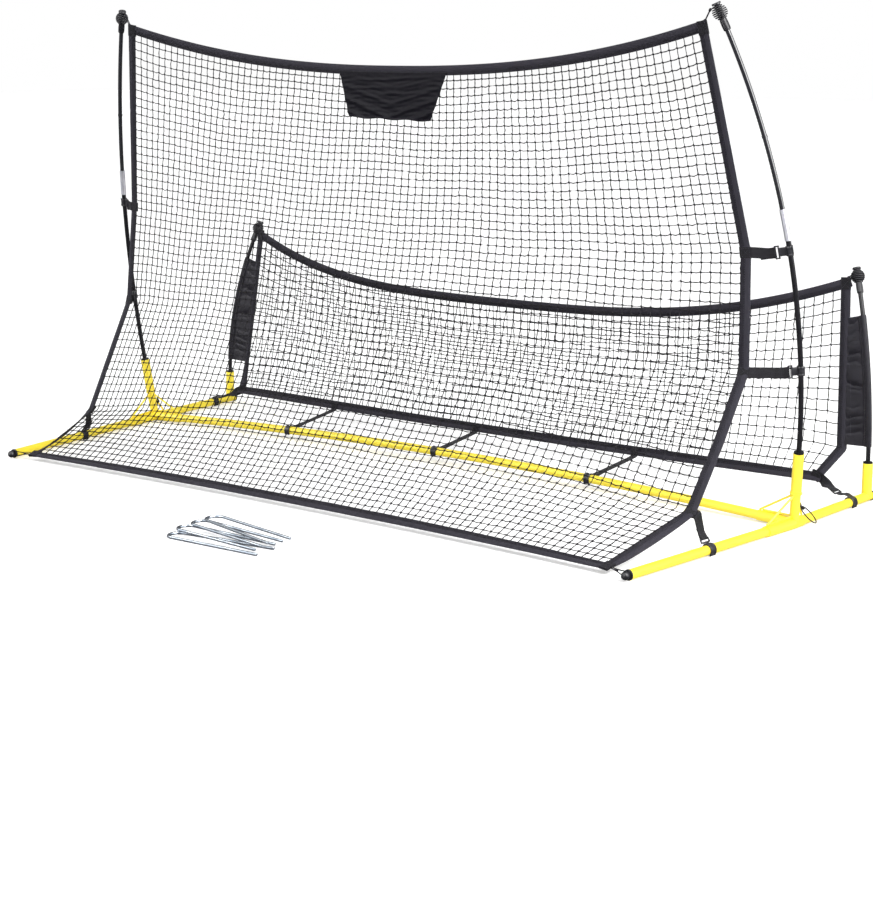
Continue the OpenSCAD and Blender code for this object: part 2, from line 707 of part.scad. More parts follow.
crossbar_clip_x = [-548, -35, 460];
crossbar_tie_x = [-600, -88, 437];
function crossbar_seat(i) = arc_point(crossbar_arc, crossbar_f(crossbar_clip_x[i]));
function crossbar_axis(i) = arc_dir(crossbar_arc, crossbar_f(crossbar_clip_x[i]));
function crossbar_tie(i) = rear_net_point(crossbar_tie_x[i] / rear_low_corner.x, 0.99);

module upper_clip() frame_at(upper_seat, upper_axis, upper_edge - upper_seat)
    spring_clip(pole_r, pole_arm, 180);
module lower_clip() frame_at(lower_seat, lower_axis, lower_edge - lower_seat)
    spring_clip(pole_r, pole_arm, 180);
module bend_clip() frame_at(bend_seat, front_dir, bend_edge - bend_seat)
    spring_clip(tube_r, rail_arm, 146);
module rear_clip() frame_at(rear_seat, rear_dir, rear_edge - rear_seat)
    spring_clip(tube_r, hook_arm, -117);
module crossbar_clip(i) frame_at(crossbar_seat(i), crossbar_axis(i),
    crossbar_tie(i) - crossbar_seat(i))
    spring_clip(tube_r, rail_arm, -100, crossbar_strap_w);

// Elastic cord from a net corner to a loop round the neck of a cap
elastic_r = 1.7;
module elastic_tie(neck, axis, neck_r, tie) {
    loop_r = neck_r + elastic_r + 0.1;
    pull = unit((tie - neck) - ((tie - neck) * unit(axis)) * unit(axis));
    color(black) {
        aim(neck, axis) rotate_extrude() translate([loop_r, 0]) circle(r = elastic_r, $fn = 16);
        rod(neck + pull * loop_r, tie, elastic_r - 0.2);
        translate(tie) sphere(r = 3.4, $fn = 24);
    }
}

function cap_neck(arc) = arc_point(arc, 1) + arc_dir(arc, 1) * (ball_half + 2.4);

module tall_elastic() elastic_tie(cap_neck(tall_arc), arc_dir(tall_arc, 1), 5.2,
    tall_net_point(0.995, 0.004) + [0, 4, 2]);
module rear_elastic() elastic_tie(cap_neck(rear_arc), arc_dir(rear_arc, 1), 5.2,
    rear_net_point(0.995, 0.01) + [0, 4, 2]);
ball_groove_at = ball_flange_h + elastic_r + 0.3;
ball_groove_r = sqrt(pow(ball_r + elastic_r + 0.3, 2) - pow(ball_ahead - ball_groove_at, 2))
    - elastic_r;
module apron_elastic() elastic_tie(front_end + front_dir * ball_groove_at, front_dir,
    ball_groove_r, tall_net_point(0.99, 0.99) + [4, 0, 2]);

// Thin elastic loop knotted on the rear gusset rod, for tying the folded frame together
loop_wire_r = 1.3;
loop_knot_r = 5;
loop_len = 34;
loop_half_w = 6;
loop_dir = unit([36, 0, -22]);
gusset_foot = corner + rear_dir * bracket_rear_len + [0, 0, gusset_rise];
loop_seat = mix(gusset_foot, collar, 0.45);
module storage_loop() {
    color(black) {
        aim(loop_seat, collar - gusset_foot) difference() {
            sphere(r = loop_knot_r);
            translate([0, 0, -loop_knot_r]) cylinder(h = 2 * loop_knot_r, r = gusset_r + 0.3);
        }
        frame_at(loop_seat, cross([0, 1, 0], loop_dir), loop_dir) {
            for (s = [-1, 1]) {
                rod([loop_knot_r - 1, s * 1.5, 0], [loop_len, s * loop_half_w, 0], loop_wire_r);
                translate([loop_len, s * loop_half_w, 0]) sphere(r = loop_wire_r + 0.1);
            }
            translate([loop_len, 0, 0]) rotate([0, 0, -90]) rotate_extrude(angle = 180)
                translate([loop_half_w, 0]) circle(r = loop_wire_r, $fn = 16);
        }
    }
}

// ---------------------------------------------------------------- ground pegs
peg_r = peg_wire_d / 2;
peg_splay = 1.7;
peg_layer = peg_wire_d + 0.2;
// Middle of each arch on the ground and the direction of its legs
peg_places = [[-30, -922, 4], [-39, -883, -3], [-25, -850, -8.2], [-8, -822, -12.7]];

module ground_peg(i) {
    leg = (peg_len - peg_arch_w / 2 - peg_r);
    color(silver) translate([peg_places[i].x, peg_places[i].y, peg_r + i * peg_layer])
        rotate([0, 0, peg_places[i].z]) {
            rotate([0, 0, 90]) rotate_extrude(angle = 180) translate([peg_arch_w / 2, 0])
                circle(r = peg_r);
            for (s = [-1, 1]) translate([0, s * peg_arch_w / 2, 0])
                rotate([0, 90, s * peg_splay]) {
                    cylinder(h = leg - 1, r = peg_r);
                    translate([0, 0, leg - 1]) cylinder(h = 1, r1 = peg_r, r2 = peg_r - 0.8);
                }
        }
}

placed() front_rail();  // front_rail_right
placed() mirror([1, 0, 0]) front_rail();  // front_rail_left
placed() corner_bracket();  // corner_bracket_right
placed() mirror([1, 0, 0]) corner_bracket();  // corner_bracket_left
placed() rear_rail();  // rear_rail_right
placed() mirror([1, 0, 0]) rear_rail();  // rear_rail_left
placed() crossbar_side();  // crossbar_right
placed() crossbar_middle_tube();  // crossbar_middle
placed() mirror([1, 0, 0]) crossbar_side();  // crossbar_left
placed() both_sides() ball_cap();  // rail_ball_caps
placed() both_sides() end_plug();  // rail_end_plugs
placed() tall_pole_lower();  // tall_pole_lower_right
placed() mirror([1, 0, 0]) tall_pole_lower();  // tall_pole_lower_left
placed() both_sides() pole_ferrule();  // pole_ferrules
placed() tall_pole_upper();  // tall_pole_upper_right
placed() mirror([1, 0, 0]) tall_pole_upper();  // tall_pole_upper_left
placed() rear_pole();  // rear_pole_right
placed() mirror([1, 0, 0]) rear_pole();  // rear_pole_left
placed() finned_cap(tall_arc);  // tall_cap_right
placed() mirror([1, 0, 0]) finned_cap(tall_arc);  // tall_cap_left
placed() finned_cap(rear_arc);  // rear_cap_right
placed() mirror([1, 0, 0]) finned_cap(rear_arc);  // rear_cap_left
placed() tall_rebound_net();  // tall_net
placed() top_hem();  // tall_net_top_hem
placed() front_hem();  // tall_net_front_hem
placed() side_tape();  // side_tape_right
placed() mirror([1, 0, 0]) side_tape();  // side_tape_left
placed() blank_banner();  // banner
placed() rear_rebound_net();  // rear_net
placed() rear_top_hem();  // rear_net_top_hem
placed() rear_bottom_hem();  // rear_net_bottom_hem
placed() rear_side_tape();  // rear_side_tape_right
placed() mirror([1, 0, 0]) rear_side_tape();  // rear_side_tape_left
placed() rear_sleeve();  // rear_sleeve_right
placed() mirror([1, 0, 0]) rear_sleeve();  // rear_sleeve_left
placed() both_sides() tall_elastic();  // tall_elastics
placed() both_sides() rear_elastic();  // rear_elastics
placed() both_sides() apron_elastic();  // apron_elastics
placed() storage_loop();  // storage_loop_right
placed() mirror([1, 0, 0]) storage_loop();  // storage_loop_left
placed() both_sides()  // upper_pole_straps
    strap_between(upper_seat, upper_axis, upper_edge, pole_r, pole_arm);
placed() both_sides()  // lower_pole_straps
    strap_between(lower_seat, lower_axis, lower_edge, pole_r, pole_arm);
placed() both_sides()  // bend_straps
    strap_between(bend_seat, front_dir, bend_edge, tube_r, rail_arm);
placed() both_sides()  // rear_corner_straps
    strap_between(rear_seat, rear_dir, rear_edge, tube_r, hook_arm);
placed() for (i = [0:2])  // crossbar_straps
    strap_between(crossbar_seat(i), crossbar_axis(i), crossbar_tie(i), tube_r, rail_arm,
        crossbar_strap_w);
placed() upper_clip();  // upper_clip_right
placed() mirror([1, 0, 0]) upper_clip();  // upper_clip_left
placed() lower_clip();  // lower_clip_right
placed() mirror([1, 0, 0]) lower_clip();  // lower_clip_left
placed() bend_clip();  // bend_clip_right
placed() mirror([1, 0, 0]) bend_clip();  // bend_clip_left
placed() rear_clip();  // rear_clip_right
placed() mirror([1, 0, 0]) rear_clip();  // rear_clip_left
placed() crossbar_clip(2);  // crossbar_clip_right
placed() crossbar_clip(1);  // crossbar_clip_middle
placed() crossbar_clip(0);  // crossbar_clip_left
placed() ground_peg(0);  // ground_peg_1
placed() ground_peg(1);  // ground_peg_2
placed() ground_peg(2);  // ground_peg_3
placed() ground_peg(3);  // ground_peg_4
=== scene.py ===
# %% [markdown]
# # Dressing a two-sided football rebounder
#
# The tubes, poles, brackets and pegs come ready made and only get their finish here. The soft
# and fine pieces are modelled: two knotted nets, their tapes, a banner, two sleeves, straps,
# elastics, clips and caps. Sizes are in metres; +X runs right, +Y to the back and +Z up.

# %% Frame
import math

import bmesh
import bpy
import numpy as np
from mathutils import Matrix, Vector


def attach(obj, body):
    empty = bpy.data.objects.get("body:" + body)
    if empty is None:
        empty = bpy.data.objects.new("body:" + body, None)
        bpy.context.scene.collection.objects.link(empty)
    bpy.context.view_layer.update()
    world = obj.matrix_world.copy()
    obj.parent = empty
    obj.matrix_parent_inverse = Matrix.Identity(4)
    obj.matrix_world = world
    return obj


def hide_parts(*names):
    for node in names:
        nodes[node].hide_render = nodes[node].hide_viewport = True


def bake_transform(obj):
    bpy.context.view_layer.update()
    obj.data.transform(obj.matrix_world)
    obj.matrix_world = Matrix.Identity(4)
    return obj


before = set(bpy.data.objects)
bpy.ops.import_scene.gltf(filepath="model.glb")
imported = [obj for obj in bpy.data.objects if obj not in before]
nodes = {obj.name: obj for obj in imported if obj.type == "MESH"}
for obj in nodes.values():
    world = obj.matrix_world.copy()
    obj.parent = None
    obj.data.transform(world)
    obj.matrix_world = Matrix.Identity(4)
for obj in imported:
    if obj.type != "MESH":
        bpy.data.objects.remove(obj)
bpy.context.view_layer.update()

scene = bpy.context.scene
chance = np.random.default_rng(11)
FRAME = "frame_and_nets"

# %% [markdown]
# ## Camera
#
# A long lens keeps the two rails nearly parallel. The camera looks down a little and the rest of
# the framing is done by shifting the lens, so upright poles lean only slightly.

# %% Camera
camera = bpy.data.objects.new("studio_camera", bpy.data.cameras.new("studio_camera"))
scene.collection.objects.link(camera)
camera.location = (3.008, -3.661, 1.121)
camera.rotation_euler = (math.radians(82.2), 0, math.radians(37.47))
camera.data.lens = 75.66
camera.data.shift_x = 0.0017
camera.data.shift_y = -0.166
camera.data.clip_end = 200
scene.camera = camera
scene.view_settings.view_transform = "Standard"
print("camera", tuple(round(v, 3) for v in camera.location))

# %% [markdown]
# ## Helpers for nodes
#
# A *recipe* adds nodes to a tree, and each of its methods returns an output that the next one
# can take. A *finish* is the recipe of a material, which starts from a Principled shader.

# %% Node helpers
SHINE = "Specular IOR Level"


class Recipe:
    """A tree of nodes. Wherever a value is asked for, the output of another node will do."""

    def __init__(self, tree):
        self.tree = tree

    def feed(self, socket, value):
        if isinstance(value, bpy.types.NodeSocket):
            self.tree.links.new(value, socket)
        else:
            socket.default_value = value

    def add(self, kind, *first, **values):
        """A node, with its first inputs set in order, and properties and inputs set by name."""
        node = self.tree.nodes.new("ShaderNode" + kind)
        for name, value in values.items():
            if hasattr(node, name):
                setattr(node, name, value)
            else:
                self.feed(node.inputs[name.title()], value)
        for socket, value in zip(node.inputs, first):
            self.feed(socket, value)
        return node

    def calc(self, operation, *values):
        return self.add("Math", *values, operation=operation).outputs[0]

    def spread(self, value, low, high, to_low=0.0, to_high=1.0):
        """Maps a value from one range to another and keeps it inside."""
        return self.add("MapRange", value, low, high, to_low, to_high, clamp=True).outputs[0]

    def mix(self, mask, color_a, color_b):
        """Colour a where the mask is 0 and colour b where it is 1."""
        node = self.add("Mix", data_type="RGBA")
        for place, value in ((0, mask), (6, color_a), (7, color_b)):
            self.feed(node.inputs[place], (*value, 1) if isinstance(value, tuple) else value)
        return node.outputs[2]

    def humps(self, value, rate=math.pi):
        """A row of round humps: the absolute sine of the value times the rate."""
        return self.calc("ABSOLUTE", self.calc("SINE", self.calc("MULTIPLY", value, rate)))

    def noise(self, place, scale, detail):
        return self.add("TexNoise", place, scale=scale, detail=detail).outputs[0]

    def parts(self, vector):
        return self.add("SeparateXYZ", vector).outputs

    def use(self, group, **values):
        return self.add("Group", node_tree=group, **values).outputs


class Finish(Recipe):
    def __init__(self, name, plain):
        self.material = bpy.data.materials.new(name)
        self.material.use_nodes = True
        super().__init__(self.material.node_tree)
        self.shader = self.tree.nodes["Principled BSDF"].inputs
        for label, value in plain.items():
            self.show(label, value)

    def show(self, label, value):
        self.feed(self.shader[label], value)

    def relief(self, height, strength, distance):
        bump = self.add("Bump", strength=strength, distance=distance)
        self.feed(bump.inputs["Height"], height)
        self.show("Normal", bump.outputs[0])


def new_group(name, outputs, **inputs):
    """An empty group: (recipe, its input sockets, its output sockets). None stands for a vector."""
    tree = bpy.data.node_groups.new(name, "ShaderNodeTree")
    for label, default in inputs.items():
        kind = "NodeSocketVector" if default is None else "NodeSocketFloat"
        socket = tree.interface.new_socket(label, in_out="INPUT", socket_type=kind)
        if default is not None:
            socket.default_value = default
    for label in outputs:
        tree.interface.new_socket(label, in_out="OUTPUT", socket_type="NodeSocketFloat")
    source, sink = tree.nodes.new("NodeGroupInput"), tree.nodes.new("NodeGroupOutput")
    return Recipe(tree), source.outputs, sink.inputs


print("node helpers ready")

# %% [markdown]
# ## Shared effects
#
# Four effects are groups built once. *Grain* is the fine skin of paint, rubber and nylon. *Dust*
# gathers on faces that look up. *Weave* draws the over and under of threads from a map laid out
# in metres, and *braid* the slanting yarns of a round cord.

# %% Grain and dust
recipe, given, result = new_group("fine_grain", ("Height", "Patch"), Scale=400.0)
place = recipe.add("TexCoord").outputs["Object"]
for share, label, detail in ((1.0, "Height", 3.0), (0.04, "Patch", 2.0)):
    scale = recipe.calc("MULTIPLY", given["Scale"], share)
    recipe.feed(result[label], recipe.noise(place, scale, detail))
grain = recipe.tree

recipe, given, result = new_group("settled_dust", ("Mask",), Amount=0.5)
speckle = recipe.noise(recipe.add("TexCoord").outputs["Object"], 55.0, 5.0)
upward = recipe.parts(recipe.add("NewGeometry").outputs["Normal"])[2]
facing = recipe.spread(upward, 0.1, 1.0)
both = recipe.calc("MULTIPLY", facing, recipe.spread(speckle, 0.42, 0.75))
recipe.feed(result["Mask"], recipe.calc("MULTIPLY", both, given["Amount"]))
dust = recipe.tree
print("groups:", grain.name, dust.name)

# %% Weave and braid
# Plain weave: warp and weft threads take turns on top. Threads is their number per metre.
recipe, given, result = new_group("plain_weave", ("Height", "Patch"), Vector=None, Threads=900.0)
scaled = recipe.add("VectorMath", given["Vector"], operation="SCALE", scale=given["Threads"])
plane = recipe.parts(scaled.outputs[0])[:2]
floors = [recipe.calc("FLOOR", part) for part in plane]
turn = recipe.calc("FLOORED_MODULO", recipe.calc("ADD", *floors), 2.0)
warp = recipe.calc("MULTIPLY", recipe.humps(plane[0]), turn)
weft = recipe.calc("MULTIPLY", recipe.humps(plane[1]), recipe.calc("SUBTRACT", 1.0, turn))
recipe.feed(result["Height"], recipe.calc("ADD", warp, weft))
recipe.feed(result["Patch"], recipe.noise(given["Vector"], 60.0, 4.0))
weave = recipe.tree

# Yarns that cross on a round cord. The map's first part runs along it, its second round it.
recipe, given, result = new_group("cord_braid", ("Height",), Vector=None, Yarns=700.0)
plane = recipe.parts(given["Vector"])[:2]
rate = recipe.calc("MULTIPLY", given["Yarns"], math.pi)
slants = [recipe.humps(recipe.calc(operation, *plane), rate) for operation in ("ADD", "SUBTRACT")]
recipe.feed(result["Height"], recipe.calc("MAXIMUM", *slants))
braid = recipe.tree
print("groups:", weave.name, braid.name)

# %% [markdown]
# ## Finishes
#
# Each finish gets a fine relief. The grained ones also get patches of colour and a change of gloss, and the
# cloths patches of colour.

# %% Painted, moulded and metal finishes
CLOTH_SHINE = 0.13


def grained(name, colors, gloss, scale, relief, plain, film=None, cloud=(0.35, 0.7),
            change=(0.3, 0.75), depth=0.0004, tint="Patch"):
    """A fine skin with patches of colour and gloss; the film is its dust, (colour, amount)."""
    made = Finish(name, {"Roughness": gloss[0], **plain})
    skin = made.use(grain, scale=scale)
    base = made.mix(made.spread(skin[tint], *cloud), *colors)
    if film:
        base = made.mix(made.use(dust, amount=film[1])["Mask"], base, film[0])
    made.show("Base Color", base)
    made.show("Roughness", made.spread(skin["Patch"], *change, *gloss))
    made.relief(skin["Height"], relief, depth)
    return made.material


yellow = grained("yellow_powder_coat", ((1.0, 0.80, 0.022), (1.0, 0.775, 0.016)), (0.40, 0.48), 900.0,
                 0.04, {"Coat Weight": 1.0, "Coat Roughness": 0.5}, ((0.95, 0.80, 0.15), 0.05))
lacquer = grained("pole_lacquer", ((0.008, 0.008, 0.011), (0.012, 0.012, 0.015)), (0.10, 0.14), 600.0,
                  0.004, {"Coat Weight": 0.6, "Coat Roughness": 0.06}, ((0.05, 0.048, 0.045), 0.04))
satin = grained("pole_satin", ((0.006, 0.006, 0.008), (0.010, 0.009, 0.011)), (0.26, 0.34), 600.0,
                0.02, {SHINE: 0.22}, ((0.04, 0.038, 0.036), 0.05))
rubber = grained("cap_rubber", ((0.006, 0.006, 0.008), (0.011, 0.010, 0.013)), (0.36, 0.48), 1200.0,
                 0.15, {SHINE: 0.35}, ((0.04, 0.038, 0.036), 0.12))
nylon = grained("clip_nylon", ((0.009, 0.009, 0.012), (0.015, 0.014, 0.018)), (0.28, 0.40), 1500.0,
                0.10, {}, ((0.05, 0.048, 0.046), 0.10))
METAL = {"cloud": (0.38, 0.66), "change": (0.3, 0.7), "depth": 0.0003}
alloy = grained("ferrule_alloy", ((0.86, 0.86, 0.90), (0.74, 0.74, 0.80)), (0.34, 0.44), 700.0,
                0.01, {"Metallic": 1.0}, **METAL)
zinc = grained("zinc_plate", ((0.50, 0.54, 0.58), (0.30, 0.34, 0.39)), (0.22, 0.40), 900.0,
               0.10, {"Metallic": 1.0}, **METAL)
twine = grained("net_twine", ((0.003, 0.003, 0.004), (0.009, 0.008, 0.010)), (0.42, 0.7), 2500.0, 0.3,
                {"Roughness": 0.55, SHINE: CLOTH_SHINE}, cloud=(0.3, 0.7), change=(0.3, 0.7),
                depth=0.0003, tint="Height")
print("grained finishes: 8")

# %% Cloth, webbing and cord finishes
SEAM_PLACE = 0.0258
FOLD_START = 0.0125
FOLD_BLUR = 0.0006
# A lighter colour on the rolled outer part of the tapes: a painted highlight for the light on that fold.
FOLD_HIGHLIGHT_COLOR = (0.028, 0.026, 0.035)
# Near black painted into the gaps between threads: painted shade.
GAP_SHADE_COLOR = (0.004, 0.004, 0.006)
LINT = ((0.09, 0.088, 0.095), 0.06)


def lit_fold_mask(made, laid):
    """1 on the rolled outer part of a folded tape, which takes a painted highlight, and 0 on its flat inner
    part.
    """
    from_seam = made.calc("ABSOLUTE", made.calc("SUBTRACT", made.parts(laid)[1], SEAM_PLACE))
    return made.spread(from_seam, FOLD_START - FOLD_BLUR, FOLD_START + FOLD_BLUR)


def woven(name, color, worn_color, threads, relief, roughness, sheen, shine=CLOTH_SHINE, folded=False):
    """Cloth whose threads follow the piece's own map, which is laid out in metres."""
    made = Finish(name, {"Roughness": roughness, "Sheen Weight": sheen, "Sheen Roughness": 0.5,
                         SHINE: shine})
    laid = made.add("UVMap").outputs[0]
    yarn = made.use(weave, vector=laid, threads=threads)
    base = made.mix(made.spread(yarn["Patch"], 0.35, 0.72), color, worn_color)
    if folded:
        # The rolled outer part of a folded tape is painted lighter: a painted highlight.
        base = made.mix(lit_fold_mask(made, laid), base, FOLD_HIGHLIGHT_COLOR)
    # Where the weave is low, between the threads, the colour goes towards near black: painted shade in the
    # gaps.
    gap_shaded = made.mix(made.spread(yarn["Height"], 0.0, 1.0, 0.55, 0.0), base, GAP_SHADE_COLOR)
    made.show("Base Color", made.mix(made.use(dust, amount=LINT[1])["Mask"], gap_shaded, LINT[0]))
    made.relief(yarn["Height"], relief, 0.0004)
    return made.material


def corded(name, color, crest_highlight_color, yarns, relief, roughness):
    """A covered or twisted cord, painted darker in the grooves and lighter on the yarn crests: painted shade
    and highlight.
    """
    made = Finish(name, {"Roughness": roughness, SHINE: CLOTH_SHINE})
    height = made.use(braid, vector=made.add("UVMap").outputs[0], yarns=yarns)["Height"]
    # Colour follows the yarns' height: painted shade in the grooves, painted highlight on the crests.
    made.show("Base Color", made.mix(height, color, crest_highlight_color))
    made.relief(height, relief, 0.0003)
    return made.material


tape_cloth = woven("tape_cloth", (0.008, 0.007, 0.011), (0.012, 0.011, 0.016), 1100.0, 0.5, 0.62, 0.03,
                   folded=True)
sleeve_cloth = woven("sleeve_cloth", (0.006, 0.005, 0.009), (0.010, 0.009, 0.014), 1500.0, 0.30, 0.42,
                     0.05, shine=0.17)
banner_cloth = woven("banner_cloth", (0.003, 0.003, 0.005), (0.006, 0.005, 0.008), 1500.0, 0.25, 0.38,
                     0.0, shine=0.06)
webbing = woven("strap_webbing", (0.005, 0.005, 0.006), (0.009, 0.008, 0.011), 650.0, 0.8, 0.62, 0.05)
elastic = corded("elastic_cover", (0.006, 0.006, 0.008), (0.018, 0.017, 0.021), 900.0, 0.6, 0.7)
thread = corded("sewing_thread", (0.016, 0.015, 0.021), (0.036, 0.034, 0.047), 2500.0, 0.3, 0.55)
print("cloths and cords: 6")

# %% [markdown]
# ## Finishes on the ready-made pieces
#
# The tubes, brackets, poles, ferrules and pegs keep their exact shapes. Only the material in
# their slots changes.

# %% Finishes by node
FINISH_OF = {
    "front_rail": yellow, "rear_rail": yellow, "corner_bracket": yellow, "crossbar_right": yellow,
    "crossbar_middle": yellow, "crossbar_left": yellow, "tall_pole_upper": lacquer,
    "tall_pole_lower": satin, "rear_pole": satin, "pole_ferrules": alloy, "ground_peg": zinc,
    "clip": nylon, "elastics": elastic, "loop": elastic,
}
for name, node in nodes.items():
    for place in node.material_slots:
        place.material = next((made for word, made in FINISH_OF.items() if word in name), rubber)
print("finished", len(nodes), "ready-made pieces")

# %% [markdown]
# ## Shape of the two nets
#
# Both nets are doubly curved. The outer edge is a chain of straight stretches between the straps
# that hold it, and the middle hangs back on a smooth curve. A point is named by *u*, from -1 at
# the left edge to 1 at the right, and *t*, from 0 at the top to 1 at the bottom. Everything sewn
# to the nets uses the same two functions, so it fits.

# %% Tall net surface
def distances(points):
    """Distance run at each point of a path."""
    return np.concatenate([[0], np.cumsum(np.linalg.norm(np.diff(points, axis=0), axis=1))])


def circle(radius, turns):
    return np.stack([radius * np.cos(turns), radius * np.sin(turns)], -1)


def run_length(points, digits=3):
    return round(float(distances(points)[-1]), digits)


EDGE = np.array([(0.911, 0.054, 1.170), (0.995, 0.131, 0.653), (1.006, 0.114, 0.383),
                 (0.995, 0.026, 0.237), (0.979, -0.068, 0.090), (0.920, -0.338, 0.014)])
MIDDLE = np.array([(0.103, 1.059), (0.073, 0.550), (0.023, 0.249), (-0.306, 0.014)])
EDGE_RUN = distances(EDGE)
EDGE_LENGTH = EDGE_RUN[-1]
STRAP_T = EDGE_RUN / EDGE_LENGTH
ROW_POWER = 2.3


def bezier(points, t):
    """A cubic curve through its first and last point."""
    t = np.asarray(t)[..., None]
    return ((1 - t) ** 3 * points[0] + 3 * (1 - t) ** 2 * t * points[1]
            + 3 * (1 - t) * t * t * points[2] + t ** 3 * points[3])


def along_chain(t, stops, chain):
    """Points of a chain of straight stretches, at the places t between its stops."""
    return np.stack([np.interp(t, stops, chain[:, k]) for k in range(3)], -1)


def bowed(u, side, middle, share):
    """Points between the edge and the middle of a net; the share is 1 at the edge."""
    return np.stack([u * side[..., 0]] + [middle[..., k] * (1 - share) + side[..., k + 1] * share
                                          for k in (0, 1)], -1)


curve_share = np.linspace(0, 1, 400)
curve_run = distances(bezier(MIDDLE, curve_share))


def tall_net(u, t):
    """Points of the tall net, with its rows spaced evenly down the edge and down the middle."""
    u, t = np.broadcast_arrays(np.asarray(u, float), np.asarray(t, float))
    middle = bezier(MIDDLE, np.interp(t, curve_run / curve_run[-1], curve_share))
    return bowed(u, along_chain(t * EDGE_LENGTH, EDGE_RUN, EDGE), middle, np.abs(u) ** ROW_POWER)


print("tall net edge", round(EDGE_LENGTH, 3), "m, middle", round(curve_run[-1], 3), "m")

# %% Rear net surface
REAR_SIDE = np.array([(0.991, 0.661, 0.549), (1.021, 0.614, 0.122), (0.972, 0.540, 0.048)])
REAR_SIDE_T = (0.0, 0.80, 1.0)
REAR_MIDDLE = np.array([(0.586, 0.416), (0.566, 0.037)])
REAR_DROP = 0.450
REAR_POWERS = (3.0, 2.0)
REAR_BELLY = 0.015
KNEE_POWER = 9


def rear_net(u, t):
    """Points of the rear net. Its edge drops to a knee and then runs in to the low corner. A
    few meshes further in the knee has faded, and the sheet leans evenly with a slight belly."""
    u, t = np.broadcast_arrays(np.asarray(u, float), np.asarray(t, float))
    kneed = along_chain(t, REAR_SIDE_T, REAR_SIDE)
    plain = REAR_SIDE[0] + (REAR_SIDE[2] - REAR_SIDE[0]) * t[..., None]
    side = plain + (kneed - plain) * (np.abs(u) ** KNEE_POWER)[..., None]
    middle = REAR_MIDDLE[0] + (REAR_MIDDLE[1] - REAR_MIDDLE[0]) * t[..., None]
    share = np.abs(u) ** (REAR_POWERS[0] + (REAR_POWERS[1] - REAR_POWERS[0]) * t)
    points = bowed(u, side, middle, share)
    points[..., 1] += 4 * REAR_BELLY * t * (1 - t) * (1 - np.abs(u) ** KNEE_POWER)
    return points


print("rear net width", 2 * REAR_SIDE[0][0], "m, drop", REAR_DROP, "m")

# %% [markdown]
# ## Modelling helpers
#
# *Sweep* wraps a plain grid into a tube, along a path and round a profile; it makes the tapes,
# straps and cords. *Stamp* repeats one small form, such as a knot or a stitch, at many places.

# %% Selection and clean-up
def deselect_all():
    if bpy.context.object and bpy.context.object.mode != "OBJECT":
        bpy.ops.object.mode_set(mode="OBJECT")
    bpy.ops.object.select_all(action="DESELECT")


def pick(piece):
    deselect_all()
    piece.select_set(True)
    bpy.context.view_layer.objects.active = piece


def rename(name):
    piece = bpy.context.object
    piece.name = piece.data.name = name
    return piece


def grid_shares(piece):
    """The share of each vertex of a grid along and across it."""
    flat = np.empty(len(piece.data.vertices) * 3)
    piece.data.vertices.foreach_get("co", flat)
    return flat.reshape(-1, 3)[:, :2] + 0.5


def new_grid(name, columns, rows):
    deselect_all()
    bpy.ops.mesh.primitive_grid_add(x_subdivisions=columns, y_subdivisions=rows, size=1)
    piece = rename(name)
    return piece, grid_shares(piece)


def new_mesh(name, points, lines, faces):
    mesh = bpy.data.meshes.new(name)
    mesh.from_pydata(points, lines, faces)
    piece = bpy.data.objects.new(name, mesh)
    scene.collection.objects.link(piece)
    return piece


def place_vertices(piece, points):
    piece.data.vertices.foreach_set("co", np.asarray(points, float).ravel())
    piece.data.update()


def lay_map(piece, *runs):
    """Lays a grid's map out in metres, from the distances run at its lines both ways."""
    layer = piece.data.uv_layers.active.data
    shares = np.empty(len(layer) * 2)
    layer.foreach_get("uv", shares)
    laid = [np.interp(shares[k::2], np.linspace(0, 1, len(run)), run) for k, run in enumerate(runs)]
    layer.foreach_set("uv", np.stack(laid, -1).ravel())


def apply_modifier(piece, kind, **values):
    pick(piece)
    modifier = piece.modifiers.new(kind.title(), kind)
    for name, value in values.items():
        setattr(modifier, name, value)
    bpy.ops.object.modifier_apply(modifier=modifier.name)


def smooth(piece, degrees=40):
    pick(piece)
    bpy.ops.object.shade_smooth_by_angle(angle=math.radians(degrees))


def mend(piece, weld=False, close=False):
    """Welds doubles and fills holes where asked, and turns every face outwards."""
    pick(piece)
    bpy.ops.object.mode_set(mode="EDIT")
    bpy.ops.mesh.select_all(action="SELECT")
    if weld:
        bpy.ops.mesh.remove_doubles(threshold=1e-5)
    if close:
        bpy.ops.mesh.fill_holes(sides=0)
    bpy.ops.mesh.select_all(action="SELECT")
    bpy.ops.mesh.normals_make_consistent(inside=False)
    bpy.ops.object.mode_set(mode="OBJECT")


def join_all(pieces, name):
    pick(pieces[0])
    for piece in pieces[1:]:
        piece.select_set(True)
    bpy.ops.object.join()
    return rename(name)


MIRROR = Matrix.Diagonal((-1, 1, 1, 1))


def mirrored_copy(piece, name=None):
    """The same piece for the left side, under its name with left for right unless one is given."""
    pick(piece)
    bpy.ops.object.duplicate()
    copy = rename(name or piece.name.replace("right", "left"))
    copy.data.transform(MIRROR)
    copy.data.flip_normals()
    return copy


def pair(piece):
    """The right piece and its copy for the left, each with its label."""
    return ("right", piece), ("left", mirrored_copy(piece))


def hand_over(piece, material, *replaced, slot="hem_fabric", body=FRAME):
    """Gives a finished piece its material and its body, and hides what it stands for. The slot is not used.
    """
    piece.data.materials.clear()
    piece.data.materials.append(material)
    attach(piece, body)
    if replaced:
        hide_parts(*replaced)


print("helpers ready")

# %% Sweep
def unit(v):
    v = np.asarray(v, float)
    return v / np.linalg.norm(v, axis=-1, keepdims=True)


def path_frames(points, across):
    """Points, their direction, the direction across and the normal, at every point of a path."""
    points = np.asarray(points, float)
    along = unit(np.gradient(points, axis=0))
    across = np.broadcast_to(np.asarray(across, float), points.shape)
    across = unit(across - (across * along).sum(-1, keepdims=True) * along)
    return points, along, across, np.cross(along, across)


